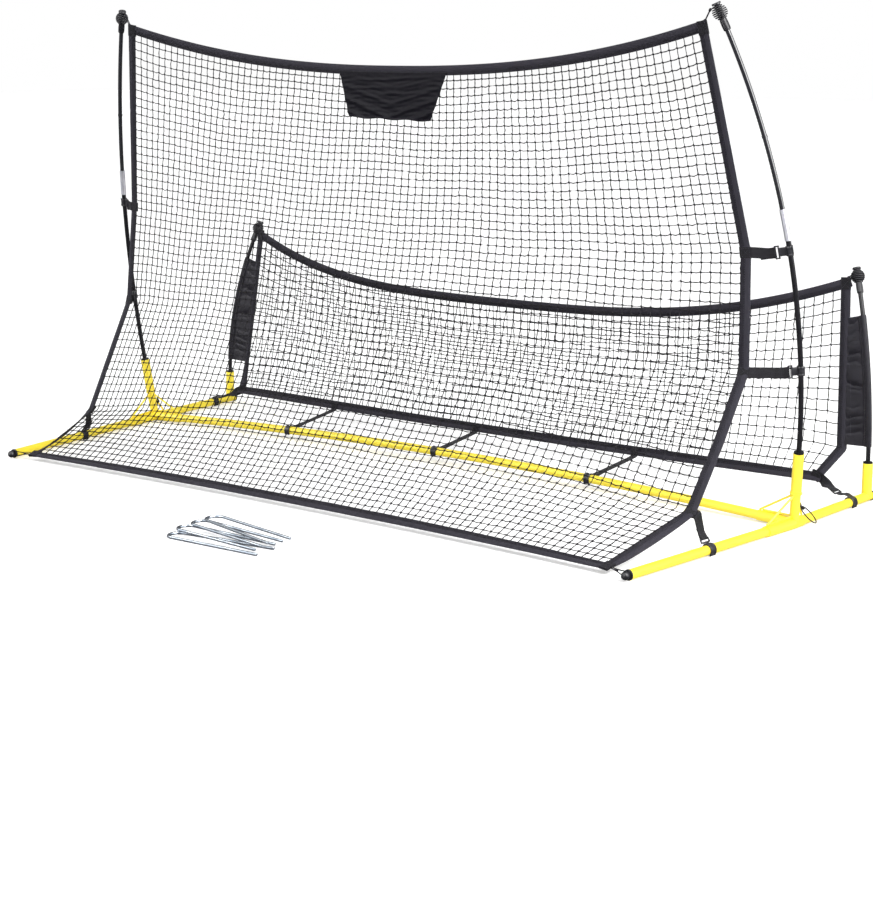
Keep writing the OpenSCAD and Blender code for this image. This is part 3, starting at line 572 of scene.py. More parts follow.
def sweep(name, frames, profile, open_ends=False):
    """Wraps a grid into a tube. The profile is a ring of (across, normal) offsets, one ring for
    all the path or one for each point. A path that ends where it starts makes a closed ring."""
    points, _, across, normal = frames
    profile = np.broadcast_to(np.asarray(profile, float), (len(points), *np.shape(profile)[-2:]))
    steps, around = len(points) - 1, profile.shape[1]
    piece, shares = new_grid(name, steps, around)
    i = np.rint(shares[:, 0] * steps).astype(int)
    k = np.rint(shares[:, 1] * around).astype(int) % around
    offset = profile[i, k]
    place_vertices(piece, points[i] + across[i] * offset[:, :1] + normal[i] * offset[:, 1:])
    lay_map(piece, distances(points), distances(np.concatenate([profile[0], profile[0][:1]])))
    mend(piece, weld=True, close=not open_ends)
    smooth(piece)
    return piece


def chaikin(points, rounds=3):
    """Cuts the corners of a path again and again until it runs smooth."""
    for _ in range(rounds):
        near = points[:-1] * 0.75 + points[1:] * 0.25
        far = points[:-1] * 0.25 + points[1:] * 0.75
        points = np.concatenate([points[:1], np.stack([near, far], 1).reshape(-1, points.shape[1]),
                                 points[-1:]])
    return points


def cord_profile(radius):
    return circle(radius, 2 * math.pi * np.arange(10) / 10)


def mirrored_profile(upper):
    """A closed profile from its upper half: (across, height) from one edge to the other."""
    upper = np.asarray(upper, float)
    return np.concatenate([upper, upper[-2:0:-1] * (1, -1)])


print("sweep ready")

# %% Stamp
def stamp(name, form, centre, along, across, normal):
    """Copies of a small form at many places, as one mesh. The form is removed afterwards."""
    seed = np.array([v.co for v in form.data.vertices])
    faces = [tuple(p.vertices) for p in form.data.polygons]
    turned = (seed[None, :, :1] * along[:, None] + seed[None, :, 1:2] * across[:, None]
              + seed[None, :, 2:] * normal[:, None] + centre[:, None])
    count = len(seed)
    copies = [tuple(v + n * count for v in face) for n in range(len(centre)) for face in faces]
    piece = new_mesh(name, turned.reshape(-1, 3), [], copies)
    piece.data.uv_layers.new(name="UVMap")
    bpy.data.objects.remove(form)
    pick(piece)
    bpy.ops.object.shade_smooth()
    return piece


def bead(halves, segments=6, rings=4):
    """A small rounded form, longest along X."""
    deselect_all()
    bpy.ops.mesh.primitive_uv_sphere_add(segments=segments, ring_count=rings, radius=1,
                                         rotation=(0, math.pi / 2, 0))
    bpy.ops.transform.resize(value=tuple(halves))
    bpy.ops.object.transform_apply(location=True, rotation=True, scale=True)
    return bpy.context.object


def lump(centre, lean, axis, halves):
    """One turn of a knot in a cord, longest along the lean."""
    beside = np.cross(axis, lean)
    return stamp("knot", bead(halves, 12, 8), centre[None], lean[None], unit(beside)[None],
                 unit(np.cross(lean, beside))[None])


print("stamp ready")

# %% [markdown]
# ## Knotted nets
#
# A net is a grid whose crossings lie on the sheet. Every edge of the grid gets one more point,
# so that a row can sag a little between two knots and a column lean. A Wireframe modifier turns
# the edges into four-sided twine, which looks round at this size. The knots are small beads, one
# to each crossing, set askew the way a sheet bend lies.

# %% Net modelling
TWINE = 0.0028
KNOT = (0.0036, 0.0025, 0.0022)
SLACK = 0.0012
WANDER = 0.0009
WAVE = 0.0016
FADE_MESHES = 3
PROBE = 0.001


def knotted_net(name, surface, columns, rows, u_end, t_first):
    """The twine of a net as one piece and its knots as another."""
    piece, _ = new_grid(name + "_twine", columns, rows)
    shape = bmesh.new()
    shape.from_mesh(piece.data)
    bmesh.ops.bisect_edges(shape, edges=shape.edges[:], cuts=1)
    shape.to_mesh(piece.data)
    shape.free()
    place = grid_shares(piece) * (columns, rows)
    x, y = place[:, 0], place[:, 1]
    wave = WAVE * (np.sin(x * 0.41 + y * 0.13) + np.sin(x * 0.17 - y * 0.29 + 1.3))
    u = (2 * x / columns - 1) * u_end
    t = t_first + (1 - 2 * t_first) * y / rows
    points = surface(u, t)
    right = unit(surface(u + PROBE, t) - points)
    down = unit(surface(u, t + PROBE) - points)
    edge_fade = np.clip(np.minimum(y, rows - y) / FADE_MESHES, 0, 1)
    edge_fade *= np.clip(np.minimum(x, columns - x) / FADE_MESHES, 0, 1)
    points += down * (wave * edge_fade)[:, None]
    points += chance.normal(0, WANDER / 2, points.shape) * edge_fade[:, None]
    on_row = np.abs(x - np.rint(x)) > 0.25
    on_column = np.abs(y - np.rint(y)) > 0.25
    points[on_row] += down[on_row] * SLACK * chance.uniform(0.4, 1.6, (on_row.sum(), 1))
    points[on_column] += right[on_column] * chance.normal(0, SLACK / 2, (on_column.sum(), 1))
    place_vertices(piece, points)
    crossing = ~(on_row | on_column)
    apply_modifier(piece, "WIREFRAME", thickness=TWINE, use_boundary=True, use_even_offset=False)
    pick(piece)
    bpy.ops.object.shade_smooth()
    centre, along, across = points[crossing], right[crossing], down[crossing]
    tilt = chance.normal(0.6, 0.25, (len(centre), 1))
    lean = unit(along * np.cos(tilt) + across * np.sin(tilt))
    normal = unit(np.cross(lean, across))
    knots = stamp(name + "_knots", bead(KNOT), centre, lean, np.cross(normal, lean), normal)
    for part in (piece, knots):
        hand_over(part, twine, name, slot="net_cord")
    print(name, len(piece.data.polygons), "twine faces,", len(centre), "knots")


# %% Both nets
TAPE_W = 0.025
OVERLAP = 0.006
SIDE_OVERLAP = 0.0015
SEAM_U = TAPE_W / EDGE[1][0]
TAPE_T = TAPE_W / EDGE_LENGTH
REAR_SEAM_U = TAPE_W / REAR_SIDE[0][0]
REAR_TAPE_T = TAPE_W / REAR_DROP
OUTSIDE = 1 - OVERLAP / TAPE_W
knotted_net("tall_net", tall_net, 83, 60, 1 - SEAM_U * (1 - SIDE_OVERLAP / TAPE_W), TAPE_T * OUTSIDE)
knotted_net("rear_net", rear_net, 84, 17, 1 - REAR_SEAM_U * OUTSIDE, REAR_TAPE_T * OUTSIDE)

# %% [markdown]
# ## Sewn tapes
#
# The nets are bound in a folded tape. Its section is round at the fold, pinched at the two rows
# of stitches and thin at the inner edge. The stitches are stamped along it on both faces.

# %% Tape section and stitches
HALF_W = TAPE_W / 2
FOLDED = mirrored_profile([(-HALF_W, 0.0), (-0.0121, 0.0011), (-0.0100, 0.0018), (-0.0050, 0.0020),
                           (-0.0010, 0.0017), (0.0008, 0.0009), (0.0028, 0.0012), (0.0060, 0.0012),
                           (0.0095, 0.0011), (0.0115, 0.0007), (HALF_W, 0.0)])
STITCH_ROWS = (0.0024, 0.0098)
STITCH_LIFT = 0.0012
STITCH_PITCH = 0.0055
STITCH_HALVES = (0.0020, 0.00045, 0.00045)
STITCH_MARGIN = 0.004
CREASE = 0.00035


def stitch_rows(name, frames, rows, height):
    """Two-sided rows of stitches at the given distances across the path."""
    run = distances(frames[0])
    stops = np.arange(STITCH_MARGIN, run[-1] - STITCH_MARGIN, STITCH_PITCH)
    centre, *turned = (along_chain(stops, run, part) for part in frames)
    along, across, normal = (unit(part) for part in turned)
    seats = [centre + across * row + normal * side * height for row in rows for side in (1, -1)]
    return stamp(name, bead(STITCH_HALVES, 5, 3), np.concatenate(seats),
                 *(np.tile(part, (len(seats), 1)) for part in (along, across, normal)))


def surface_frames(surface, u, t, inward_u, inward_t):
    """Frames along a line of a net's surface, with the direction across pointing into the net."""
    points = surface(u, t)
    return path_frames(points, surface(u + inward_u * PROBE, t + inward_t * PROBE) - points)


def bind(name, node, frames):
    """A folded tape along an edge of a net, sewn with two rows of stitches."""
    points, along, across, normal = frames
    crease = np.convolve(chance.normal(0, CREASE, len(points)), np.ones(5) / 5, mode="same")
    tape = sweep(name, (points + normal * crease[:, None], along, across, normal), FOLDED)
    hand_over(tape, tape_cloth, node)
    hand_over(stitch_rows(name + "_stitches", frames, STITCH_ROWS, STITCH_LIFT), thread)
    print(name, run_length(points), "m long")


print("tape section", len(FOLDED), "points")

# %% Tapes of both nets
ACROSS_STEPS = 150
TAPE_DROOP = 0.6
TAPES = (
    (tall_net, SEAM_U, TAPE_T, 110, STRAP_T[1:-1], ("top_tape", "tall_net_top_hem"),
     ("front_tape", "tall_net_front_hem"), ("side_tape_cloth_", "side_tape_")),
    (rear_net, REAR_SEAM_U, REAR_TAPE_T, 40, REAR_SIDE_T[1:2], ("rear_top_tape", "rear_net_top_hem"),
     ("rear_low_tape", "rear_net_bottom_hem"), ("rear_side_cloth_", "rear_side_tape_")),
)


def hanging_frames(frames, t):
    """Turns the side tape of the apron about its seam, so that its fold hangs down between the
    two corners that hold it."""
    points, _, across, normal = frames
    stretch = np.clip((t - STRAP_T[4]) / (1 - STRAP_T[4]), 0, 1)
    upward = normal * np.sign(normal[:, 2:])
    drop = TAPE_DROOP * np.sin(stretch * math.pi)[:, None]
    turned = across * np.cos(drop) + upward * np.sin(drop)
    seam = points + across * HALF_W
    return path_frames(seam - turned * HALF_W, turned)


u_line = np.linspace(-1, 1, ACROSS_STEPS + 1)
for surface, seam_u, tape_t, count, corners, top, foot, side_names in TAPES:
    for names, t, inward in ((top, tape_t / 2, 1), (foot, 1 - tape_t / 2, -1)):
        bind(*names, surface_frames(surface, u_line, t, 0, inward))
    margin = tape_t * 0.55
    stations = np.concatenate([np.linspace(margin, 1 - margin, count), corners])
    t_line = np.unique(np.round(stations, 6))
    for side, label in ((1, "right"), (-1, "left")):
        frames = surface_frames(surface, side * (1 - seam_u / 2), t_line, -side, 0)
        if surface is tall_net:
            frames = hanging_frames(frames, t_line)
        bind(*(first + label for first in side_names), frames)

# %% [markdown]
# ## Banner
#
# The banner is plain cloth. Its top is caught in the seam of the top tape and its foot hangs
# free, so low folds run across it near the seam and slanting ones below.

# %% Banner
BANNER_TOP = (-0.180, 0.163)
BANNER_LOW = (-0.141, 0.115)
BANNER_DROP = 0.140
BANNER_AHEAD = 0.0045
BANNER_CLOTH = 0.0009


def crisp(phase):
    """A fold wave with narrow crests and wide hollows."""
    return 2 * (0.5 + 0.5 * np.sin(phase)) ** 2.6 - 0.6


def banner_points(shares):
    """A point of the banner from its share across (0 to 1) and down (0 to 1)."""
    across, down = shares[:, 0], shares[:, 1]
    left, right = (top + (low - top) * down for top, low in zip(BANNER_TOP, BANNER_LOW))
    t = TAPE_T * 0.8 + down * BANNER_DROP / EDGE_LENGTH * (1 + 0.04 * across)
    points = tall_net((left + (right - left) * across) / EDGE[0][0], t)
    low_folds = 0.0009 * crisp(down * 38 + across * 6) * (1 - down) ** 1.5 * np.sin(across * math.pi)
    from_left = 0.0017 * crisp(down * 21 - across * 17 + 2.0) * np.clip(1.2 - 1.6 * across, 0, 1)
    from_right = 0.0019 * crisp(down * 24 + across * 19 + 0.8) * np.clip(1.6 * across - 0.35, 0, 1)
    small = 0.0005 * np.sin(down * 61 + 3.0 * np.sin(across * 9)) * np.sin(across * 17 + down * 5)
    folds = low_folds + (from_left + from_right) * down ** 1.1 + small
    points[:, 1] -= BANNER_AHEAD + folds * np.clip(down * 6, 0, 1)
    points[:, 2] += 0.0016 * np.sin(across * 19 + 0.5) * down ** 3
    return points


banner, banner_shares = new_grid("banner_panel", 110, 48)
banner_shares[:, 1] = 1 - banner_shares[:, 1]
place_vertices(banner, banner_points(banner_shares))
banner_width = BANNER_TOP[1] - BANNER_TOP[0]
lay_map(banner, (0, banner_width), (0, BANNER_DROP))
apply_modifier(banner, "SOLIDIFY", thickness=BANNER_CLOTH, offset=0)
smooth(banner)
hand_over(banner, banner_cloth, "banner")
print("banner", round(banner_width, 3), "m wide at the top,", BANNER_DROP, "m high")

# %% Banner hem
foot = np.stack([np.linspace(0.01, 0.99, 60), np.full(60, 0.965)], -1)
foot_points = banner_points(foot)
foot_frames = path_frames(foot_points, banner_points(foot - (0, 0.01)) - foot_points)
hand_over(stitch_rows("banner_foot_stitches", foot_frames, (0.0,), 0.0006), thread)
print("banner foot", run_length(foot_points), "m sewn")

# %% [markdown]
# ## Sleeves on the rear poles
#
# Each sleeve is one piece of cloth that runs from the side tape of the rear net round the pole
# and back. A seam beside the pole closes the tunnel, and between the two seams the cloth lies in
# low folds that run level, because the net pulls it sideways.

# %% Circle arcs of the poles
def arc_through(start, direction, end):
    """A circle arc from its start, its first direction and its end, as a function of the share."""
    start, direction, end = (np.asarray(v, float) for v in (start, unit(direction), end))
    chord = end - start
    inward = unit(chord - chord.dot(direction) * direction)
    radius = chord.dot(chord) / (2 * chord.dot(inward))
    angle = 2 * math.atan2(chord.dot(inward), chord.dot(direction))

    def point(share):
        turn = np.asarray(share, float)[..., None] * angle
        return start + radius * (np.sin(turn) * direction + (1 - np.cos(turn)) * inward)

    return point


REAR_POLE = arc_through((1.07373, 0.60893, 0.09996), (0, 0.02999, 0.99955), (1.004, 0.670, 0.547))
TALL_POLE = arc_through((1.07041, 0.24055, 0.187848), (0.103984, -0.115537, 0.987845),
                        (0.943, 0.059, 1.185))
POLE_R = 0.006
print("rear pole at mid height", REAR_POLE(0.5).round(3), "tall pole", TALL_POLE(0.5).round(3))

# %% Sleeves
SLEEVE_CLOTH = 0.0008
TUNNEL_R = 0.0072
TUNNEL_SEAM = 0.0125
MOUTH = np.array([(0.0105, 0.0022), (0.0085, 0.0047)])
SLEEVE_TOP = 0.785
SLEEVE_RUN = 0.705
SLEEVE_STEPS = 150
FOLDS = ((0.045, 0.6), (0.13, 0.5), (0.20, 0.3), (0.295, 1.0), (0.36, 0.4), (0.53, 1.0),
         (0.56, 0.5), (0.70, 0.4), (0.78, 0.7), (0.845, 0.5), (0.91, 0.6))
FOLD_DEPTH = 0.0042


def fold_height(share, slants):
    """Level folds, steep below and easy above; a slant moves them up or down across the panel."""
    total = 0.0
    for centre, depth in FOLDS:
        off = share - centre - slants
        total = total + depth * np.exp(-np.abs(off / np.where(off > 0, 0.006, 0.021)) ** 1.3)
    return FOLD_DEPTH * total + 0.0008 * math.sin(share * 23) - 0.0012


def sleeve_ring(reach, height):
    """The ring round panel and tunnel at one height; reach is the distance to the side tape."""
    spots = np.linspace(0, 1, 15)
    panel = reach + (TUNNEL_SEAM - reach) * spots
    slants = 0.012 * np.sin(spots * 4 + height * 9) + 0.004 * np.sin(spots * 11 + height * 31)
    swell = fold_height(height, slants) * np.sin(spots * math.pi) ** 0.6
    upper, lower = (np.stack([panel, side * SLEEVE_CLOTH + swell], -1) for side in (1, -1))
    tunnel = circle(TUNNEL_R, np.radians(np.arange(40, 325, 20)))
    return np.concatenate([upper, MOUTH, tunnel, MOUTH[::-1] * (1, -1), lower[::-1]])


shares = np.linspace(0, 1, SLEEVE_STEPS + 1)
pole_line = REAR_POLE(SLEEVE_TOP - SLEEVE_RUN * shares)
net_line = rear_net(0.992, 0.185 + 0.612 * shares)
frames = path_frames(pole_line, net_line - pole_line)
reach = ((net_line - pole_line) * frames[2]).sum(-1)
rings = [sleeve_ring(*spot) for spot in zip(reach, shares)]
sleeve = sweep("sleeve_right", frames, rings, open_ends=True)
apply_modifier(sleeve, "SOLIDIFY", thickness=SLEEVE_CLOTH, offset=0)
smooth(sleeve, 60)
seams = [stitch_rows("sleeve_seam", frames, (place,), 0.0016)
         for place in (TUNNEL_SEAM + 0.001, float(reach.mean()) - 0.010)]
sleeve_stitches = join_all(seams, "sleeve_stitches_right")
sleeve_height = float(distances(REAR_POLE(np.linspace(SLEEVE_TOP - SLEEVE_RUN, SLEEVE_TOP, 40)))[-1])
for label, piece in pair(sleeve):
    hand_over(piece, sleeve_cloth, "rear_sleeve_" + label)
for label, piece in pair(sleeve_stitches):
    hand_over(piece, thread)

# %% [markdown]
# ## Clips
#
# Each strap ends in a moulded clip: a sprung ring with two ribs, a short arm, and a frame whose
# outer bar carries the strap. It is modelled with the tube along Z and the strap along X, and
# then set in its place.

# %% Clip modelling
CLIP_GAP = 0.00035
CLIP_WALL = 0.0024
RIBS = np.array([(-0.5, -0.0011), (-0.5, 0.0012), (-0.46, 0.0018), (-0.34, 0.0018), (-0.30, 0.0008),
                 (0.30, 0.0008), (0.34, 0.0018), (0.46, 0.0018), (0.5, 0.0012), (0.5, -0.0011)])
LIP = 0.0022
FRAME_THICK = 0.0034
OUTER_BAR = 0.0026
INNER_BAR = 0.0036
END_BAR = 0.003
SLOT = 0.0052
BAR_FROM_FRAME = 0.0085


def block(x, z, *size):
    """A box with rounded edges."""
    deselect_all()
    bpy.ops.mesh.primitive_cube_add(size=1, location=(x, 0, z), scale=size)
    bpy.ops.object.transform_apply(location=True, rotation=True, scale=True)
    piece = bpy.context.object
    apply_modifier(piece, "BEVEL", width=0.0008, segments=3)
    return piece


def clip_ring(bore, mouth, high):
    """The sprung ring, open towards the angle mouth, with lips that turn out at its ends."""
    steps = np.arange(57)
    turns = np.radians(np.linspace(mouth + 40, mouth + 320, 57))
    lip = np.clip(1 - np.minimum(steps, 56 - steps) / 4, 0, 1) ** 2 * LIP
    middle = bore + CLIP_GAP + CLIP_WALL / 2 + lip
    path = np.column_stack([circle(middle, turns), 0 * turns])
    return sweep("clip_ring", path_frames(path, (0, 0, 1)), RIBS * (high, 1))


def clip_arm(radius, leave, end, high):
    """The arm from ring to frame. It leaves the ring at the angle leave, and a hook's arm runs on
    from the top of the ring in a flat S."""
    x, y = radius * math.cos(math.radians(leave)), radius * math.sin(math.radians(leave))
    knots = [(x, y, 0), (x + 0.45 * (end - x), y * 1.02, 0), (x + 0.7 * (end - x), y * 0.25, 0),
             (end - 0.002, 0, 0), (end, 0, 0)]
    path = chaikin(np.array(knots if leave else knots[::4]))
    half = FRAME_THICK / 2
    section = mirrored_profile([(-0.5, 0), (-0.48, half * 0.7), (-0.42, half), (0.42, half),
                                (0.48, half * 0.7), (0.5, 0)])
    return sweep("clip_arm", path_frames(path, (0, 0, 1)), section * (high * 0.92, 1))


def make_clip(name, bore, arm, mouth, strap_w, high, leave):
    outer = bore + CLIP_GAP + CLIP_WALL
    bar_x = outer + arm + BAR_FROM_FRAME
    right = bar_x + OUTER_BAR / 2
    left = right - OUTER_BAR - SLOT - INNER_BAR
    tall = strap_w + 0.0062
    parts = [clip_ring(bore, mouth, high), clip_arm(outer - 0.0012, leave, left + 0.001, high)]
    parts += [block((left + right) / 2, side * (tall - END_BAR) / 2, right - left, FRAME_THICK, END_BAR)
              for side in (1, -1)]
    parts += [block(bar_x, 0, OUTER_BAR, FRAME_THICK * 0.85, tall - 0.001),
              block(left + INNER_BAR / 2, 0, INNER_BAR, FRAME_THICK, tall - 0.001)]
    clip = join_all(parts, name)
    smooth(clip, 35)
    return clip


print("clip frame", round(OUTER_BAR + SLOT + INNER_BAR, 4), "m deep")

# %% Places of the clips and straps
class Tie:
    """One strap with its clip, on the right side or in the middle."""

    def __init__(self, node, seat, axis, edge, bore, arm, mouth, width, tail, high, wrap, leave=0,
                 sag=0.0):
        self.node, self.width, self.tail, self.sag, self.wrap = node, width, tail, sag, wrap
        self.twist = np.array((0, 0, 5.0 if node.startswith("rear") else 0))
        self.shape = (bore, arm, mouth, width, high, leave)
        self.bar_x = bore + CLIP_GAP + CLIP_WALL + arm + BAR_FROM_FRAME
        z = Vector(axis).normalized()
        pull = Vector(edge) - Vector(seat)
        x = (pull - z * pull.dot(z)).normalized()
        self.seat, self.x, self.y, self.z = Vector(seat), x, z.cross(x), z
        self.matrix = Matrix.Translation(seat) @ Matrix((x, self.y, z)).transposed().to_4x4()

    def at(self, x, y):
        return np.array(self.seat + self.x * x + self.y * y)


def side_wrap(t):
    """Where a strap folds round the side tape: outer edge, direction in, and lengthwise."""
    outer = tall_net(1.0, t)
    lengthwise = unit(tall_net(1.0, t - 0.02) - tall_net(1.0, t + 0.02))
    return outer, unit(tall_net(1 - SEAM_U, t) - outer), lengthwise


def low_wrap(x):
    """Where a strap folds round the bottom tape of the rear net."""
    u = x / REAR_SIDE[2][0]
    outer = rear_net(u, 1.0)
    return outer, unit(rear_net(u, 1 - REAR_TAPE_T) - outer), unit(rear_net(u + 0.01, 1.0) - outer)


def corner_wrap():
    """Where the rear strap folds round the low corner of the rear net, in line with its pull."""
    outer = rear_net(1.0, 0.978)
    inward = unit(rear_net(0.94, 0.938) - outer)
    return outer, inward, unit(np.cross(inward, np.cross(inward, (0, 0, 1.0))))


FRONT_DIR = (-0.125333, -0.992115, 0)
REAR_DIR = (0.0627905, 0.998027, 0)
TUBE_R = 0.011
ON_POLE = (180, 0.025, 0.034, 0.022)
ON_CROSSBAR = (TUBE_R, 0.004, -100, 0.020, 0.040, 0.016)
TIES = [
    Tie("upper_clip_right", (1.06958, 0.171465, 0.658266), (-0.107425, -0.173309, 0.978991),
        (0.9775, 0.131646, 0.653627), POLE_R, 0.0155, *ON_POLE, side_wrap(STRAP_T[1])),
    Tie("lower_clip_right", (1.08227, 0.215486, 0.38174), (0.0170674, -0.140135, 0.989985),
        (0.987374, 0.113433, 0.386729), POLE_R, 0.0125, *ON_POLE, side_wrap(STRAP_T[2])),
    Tie("bend_clip_right", (1.01102, -0.063422, 0.013), FRONT_DIR, (0.961702, -0.072049, 0.086109),
        TUBE_R, 0.004, 146, 0.025, 0.026, 0.020, side_wrap(STRAP_T[4])),
    Tie("rear_clip_right", (1.06883, 0.528471, 0.013), REAR_DIR, (0.954012, 0.545593, 0.072578),
        TUBE_R, 0.026, -117, 0.025, 0.026, 0.020, corner_wrap(), leave=70, sag=0.002),
    Tie("crossbar_clip_left", (-0.548, 0.297458, 0.026125), (0.998621, 0.0493904, 0.0177805),
        (-0.600211, 0.556215, 0.065737), *ON_CROSSBAR, low_wrap(-0.600)),
    Tie("crossbar_clip_middle", (-0.035, 0.310945, 0.03098), (0.999994, 0.00315449, 0.00113562),
        (-0.088031, 0.565988, 0.061531), *ON_CROSSBAR, low_wrap(-0.088)),
    Tie("crossbar_clip_right", (0.460, 0.30146, 0.027566), (0.999029, -0.0414591, -0.0149253),
        (0.437154, 0.560917, 0.063714), *ON_CROSSBAR, low_wrap(0.437)),
]
print("ties:", ", ".join(tie.node for tie in TIES))

# %% [markdown]
# ## Straps
#
# A strap is one length of webbing. It is folded round the net's tape and sewn, goes round the
# outer bar of the clip, and its tail is sewn back onto it.

# %% Strap modelling
WEB_THICK = 0.0013
WRAP_LIFT = 0.0027
EYE_R = 0.0023
BOX_PITCH = 0.0036


def web_profile(width, thick=WEB_THICK):
    half, t = width / 2, thick / 2
    return mirrored_profile([(-half, 0), (-half + 0.0003, t * 0.8), (-half + 0.0012, t),
                             (-half / 3, t * 0.9), (half / 3, t * 0.9), (half - 0.0012, t),
                             (half - 0.0003, t * 0.8), (half, 0)])


def strap_frames(tie):
    """The path of the webbing from its end behind the tape to its tail beyond the bar."""
    outer, inward, lengthwise = tie.wrap
    axis = np.array(tie.z)
    if lengthwise.dot(axis + tie.twist) < 0:
        lengthwise = -lengthwise
    facing = unit(np.cross(inward, lengthwise))
    if facing.dot(np.array(tie.y)) < 0:
        facing = -facing
    wrap = tie.width
    tape_end = [outer + inward * along + facing * lift for along, lift in (
        (0.001, -WRAP_LIFT), (wrap, -WRAP_LIFT), (wrap + 0.0022, -WRAP_LIFT * 0.6),
        (wrap + 0.0022, WRAP_LIFT * 0.6), (wrap, WRAP_LIFT), (0.004, WRAP_LIFT), (-0.003, WRAP_LIFT * 0.8))]
    eye = circle(EYE_R, np.radians(np.arange(90, 271, 30)))
    near, far = tape_end[-1], tie.at(tie.bar_x + 0.014, 0)
    run = [near + (far - near) * share - np.array([0, 0, tie.sag * 4 * share * (1 - share)])
           for share in (0.25, 0.5, 0.75)]
    round_bar = [(0.012, 0.0009), (0.006, 0.0014), *eye, (0.006, -0.0014), (0.012, -0.0009),
                 (tie.tail, -0.0009)]
    points = np.array(tape_end + run + [tie.at(tie.bar_x + x, y) for x, y in round_bar])
    turned = np.clip(np.arange(len(points)) - len(tape_end) + 1, 0, 4)[:, None] / 4
    across = lengthwise * (1 - turned) + axis * turned
    path = chaikin(np.concatenate([points, across], 1))
    print(tie.node, run_length(path[:, :3]), "m of webbing")
    return path_frames(path[:, :3], path[:, 3:])


def stitch_box(name, centre, along, across, half_long, half_wide, lift):
    """A sewn box with a cross in it, on both faces of a strap."""
    normal = unit(np.cross(along, across))
    corners = [centre + along * p * half_long + across * q * half_wide
               for p, q in ((-1, -1), (1, -1), (1, 1), (-1, 1))]
    seats, runs = [], []
    for a, b in ((0, 1), (1, 2), (2, 3), (3, 0), (0, 2), (1, 3)):
        line = corners[b] - corners[a]
        stops = max(2, int(np.linalg.norm(line) / BOX_PITCH))
        for share in (np.arange(stops) + 0.5) / stops:
            seats.append(corners[a] + line * share)
            runs.append(unit(line))
    seats, runs = np.array(seats * 2), np.array(runs * 2)
    lifts = np.repeat((1, -1), len(seats) // 2)[:, None] * lift
    normals = np.broadcast_to(normal, seats.shape)
    return stamp(name, bead((0.0014, 0.0004, 0.0004), 5, 3), seats + normals * lifts, runs,
                 np.cross(normals, runs), normals)


def sewn(name, strap, *boxes):
    """A strap joined with its stitches."""
    strap.data.materials.append(webbing)
    for rows in boxes:
        rows.data.materials.append(thread)
    return join_all([strap, *boxes], name)


def make_strap(tie, name):
    outer, inward, lengthwise = tie.wrap
    half = tie.width / 2
    strap = sweep(name, strap_frames(tie), web_profile(tie.width))
    near_clip = stitch_box("tail_stitches", tie.at(tie.bar_x + tie.tail - 0.009, 0), np.array(tie.x),
                           np.array(tie.z), 0.007, half - 0.003, 0.0018)
    on_tape = stitch_box("tape_stitches", outer + inward * half, inward, lengthwise, half - 0.003,
                         half - 0.003, WRAP_LIFT + 0.0007)
    return sewn(name, strap, near_clip, on_tape)


print("webbing", WEB_THICK, "m thick")

# %% Straps and clips in place
SHARED = {"upper": "upper_pole_straps", "lower": "lower_pole_straps", "bend": "bend_straps",
          "rear": "rear_corner_straps", "crossbar": "crossbar_straps"}


def settle(tie, node, side, clip, strap):
    """The clip's body and what clip and strap stand for; the strap is baked where it lies."""
    hand_over(clip, nylon, node, slot="clip_nylon", body=node)
    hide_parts(SHARED[tie.node.split("_")[0]])
    flip = np.array([side, 1, 1])
    tuple(tie.at(tie.bar_x + 0.002, 0) * flip)
    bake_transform(strap)


for tie in TIES:
    clip = make_clip(tie.node + "_moulding", *tie.shape)
    clip.data.transform(tie.matrix)
    strap = make_strap(tie, tie.node.replace("_clip", "_strap"))
    if not tie.node.startswith("crossbar"):
        settle(tie, tie.node.replace("right", "left"), -1, mirrored_copy(clip), mirrored_copy(strap))
    settle(tie, tie.node, 1, clip, strap)
    print(tie.node, len(clip.data.polygons), "faces, strap", len(strap.data.polygons))

# %% [markdown]
# ## Caps
#
# A Screw modifier turns one profile: the bore, the skirt, seven thin fins that fill a ball, a
# neck for the elastic and a flat disc. Eight ribs stiffen the skirt.

# %% Finned caps
BALL_R = 0.0175
BALL_HALF = 0.0148
FINS = 7
FIN_PITCH = 0.0045
FIN_HALF = 0.0014
FIN_EDGE = ((0.0008, -1), (0.0002, -0.5), (0, 0), (0.0002, 0.5), (0.0008, 1))
CORE_R = 0.0072
BORE_R = 0.0063
DISC_R = 0.0104
SKIRT = 0.028
SKIRT_R = 0.0078
NECK_R = 0.0052
TURN_STEPS = 64


def cap_profile():
    """(radius, height) from the blind end of the bore to the middle of the disc."""
    foot = -BALL_HALF - SKIRT
    line = [(0, 0.0005), (BORE_R, 0.0005), (BORE_R, foot), (0.0070, foot), (0.0076, foot + 0.0008),
            (SKIRT_R, foot + 0.003), (0.0076, -BALL_HALF - 0.002), (CORE_R, -BALL_HALF)]
    for k in range(FINS):
        z = (k - (FINS - 1) / 2) * FIN_PITCH
        rim = math.sqrt(BALL_R ** 2 - z * z)
        edge = [(rim - inset, z + FIN_HALF * share) for inset, share in FIN_EDGE]
        line += [(CORE_R, z - FIN_HALF * 1.4), *edge, (CORE_R, z + FIN_HALF * 1.4)]
    top = BALL_HALF
    return line + [(NECK_R, top + 0.0004), (NECK_R, top + 0.0029), (0.0088, top + 0.0031),
                   (DISC_R, top + 0.0037), (DISC_R, top + 0.0070), (0.0096, top + 0.0078),
                   (0.0064, top + 0.0078), (0.0058, top + 0.0070), (0, top + 0.0068)]


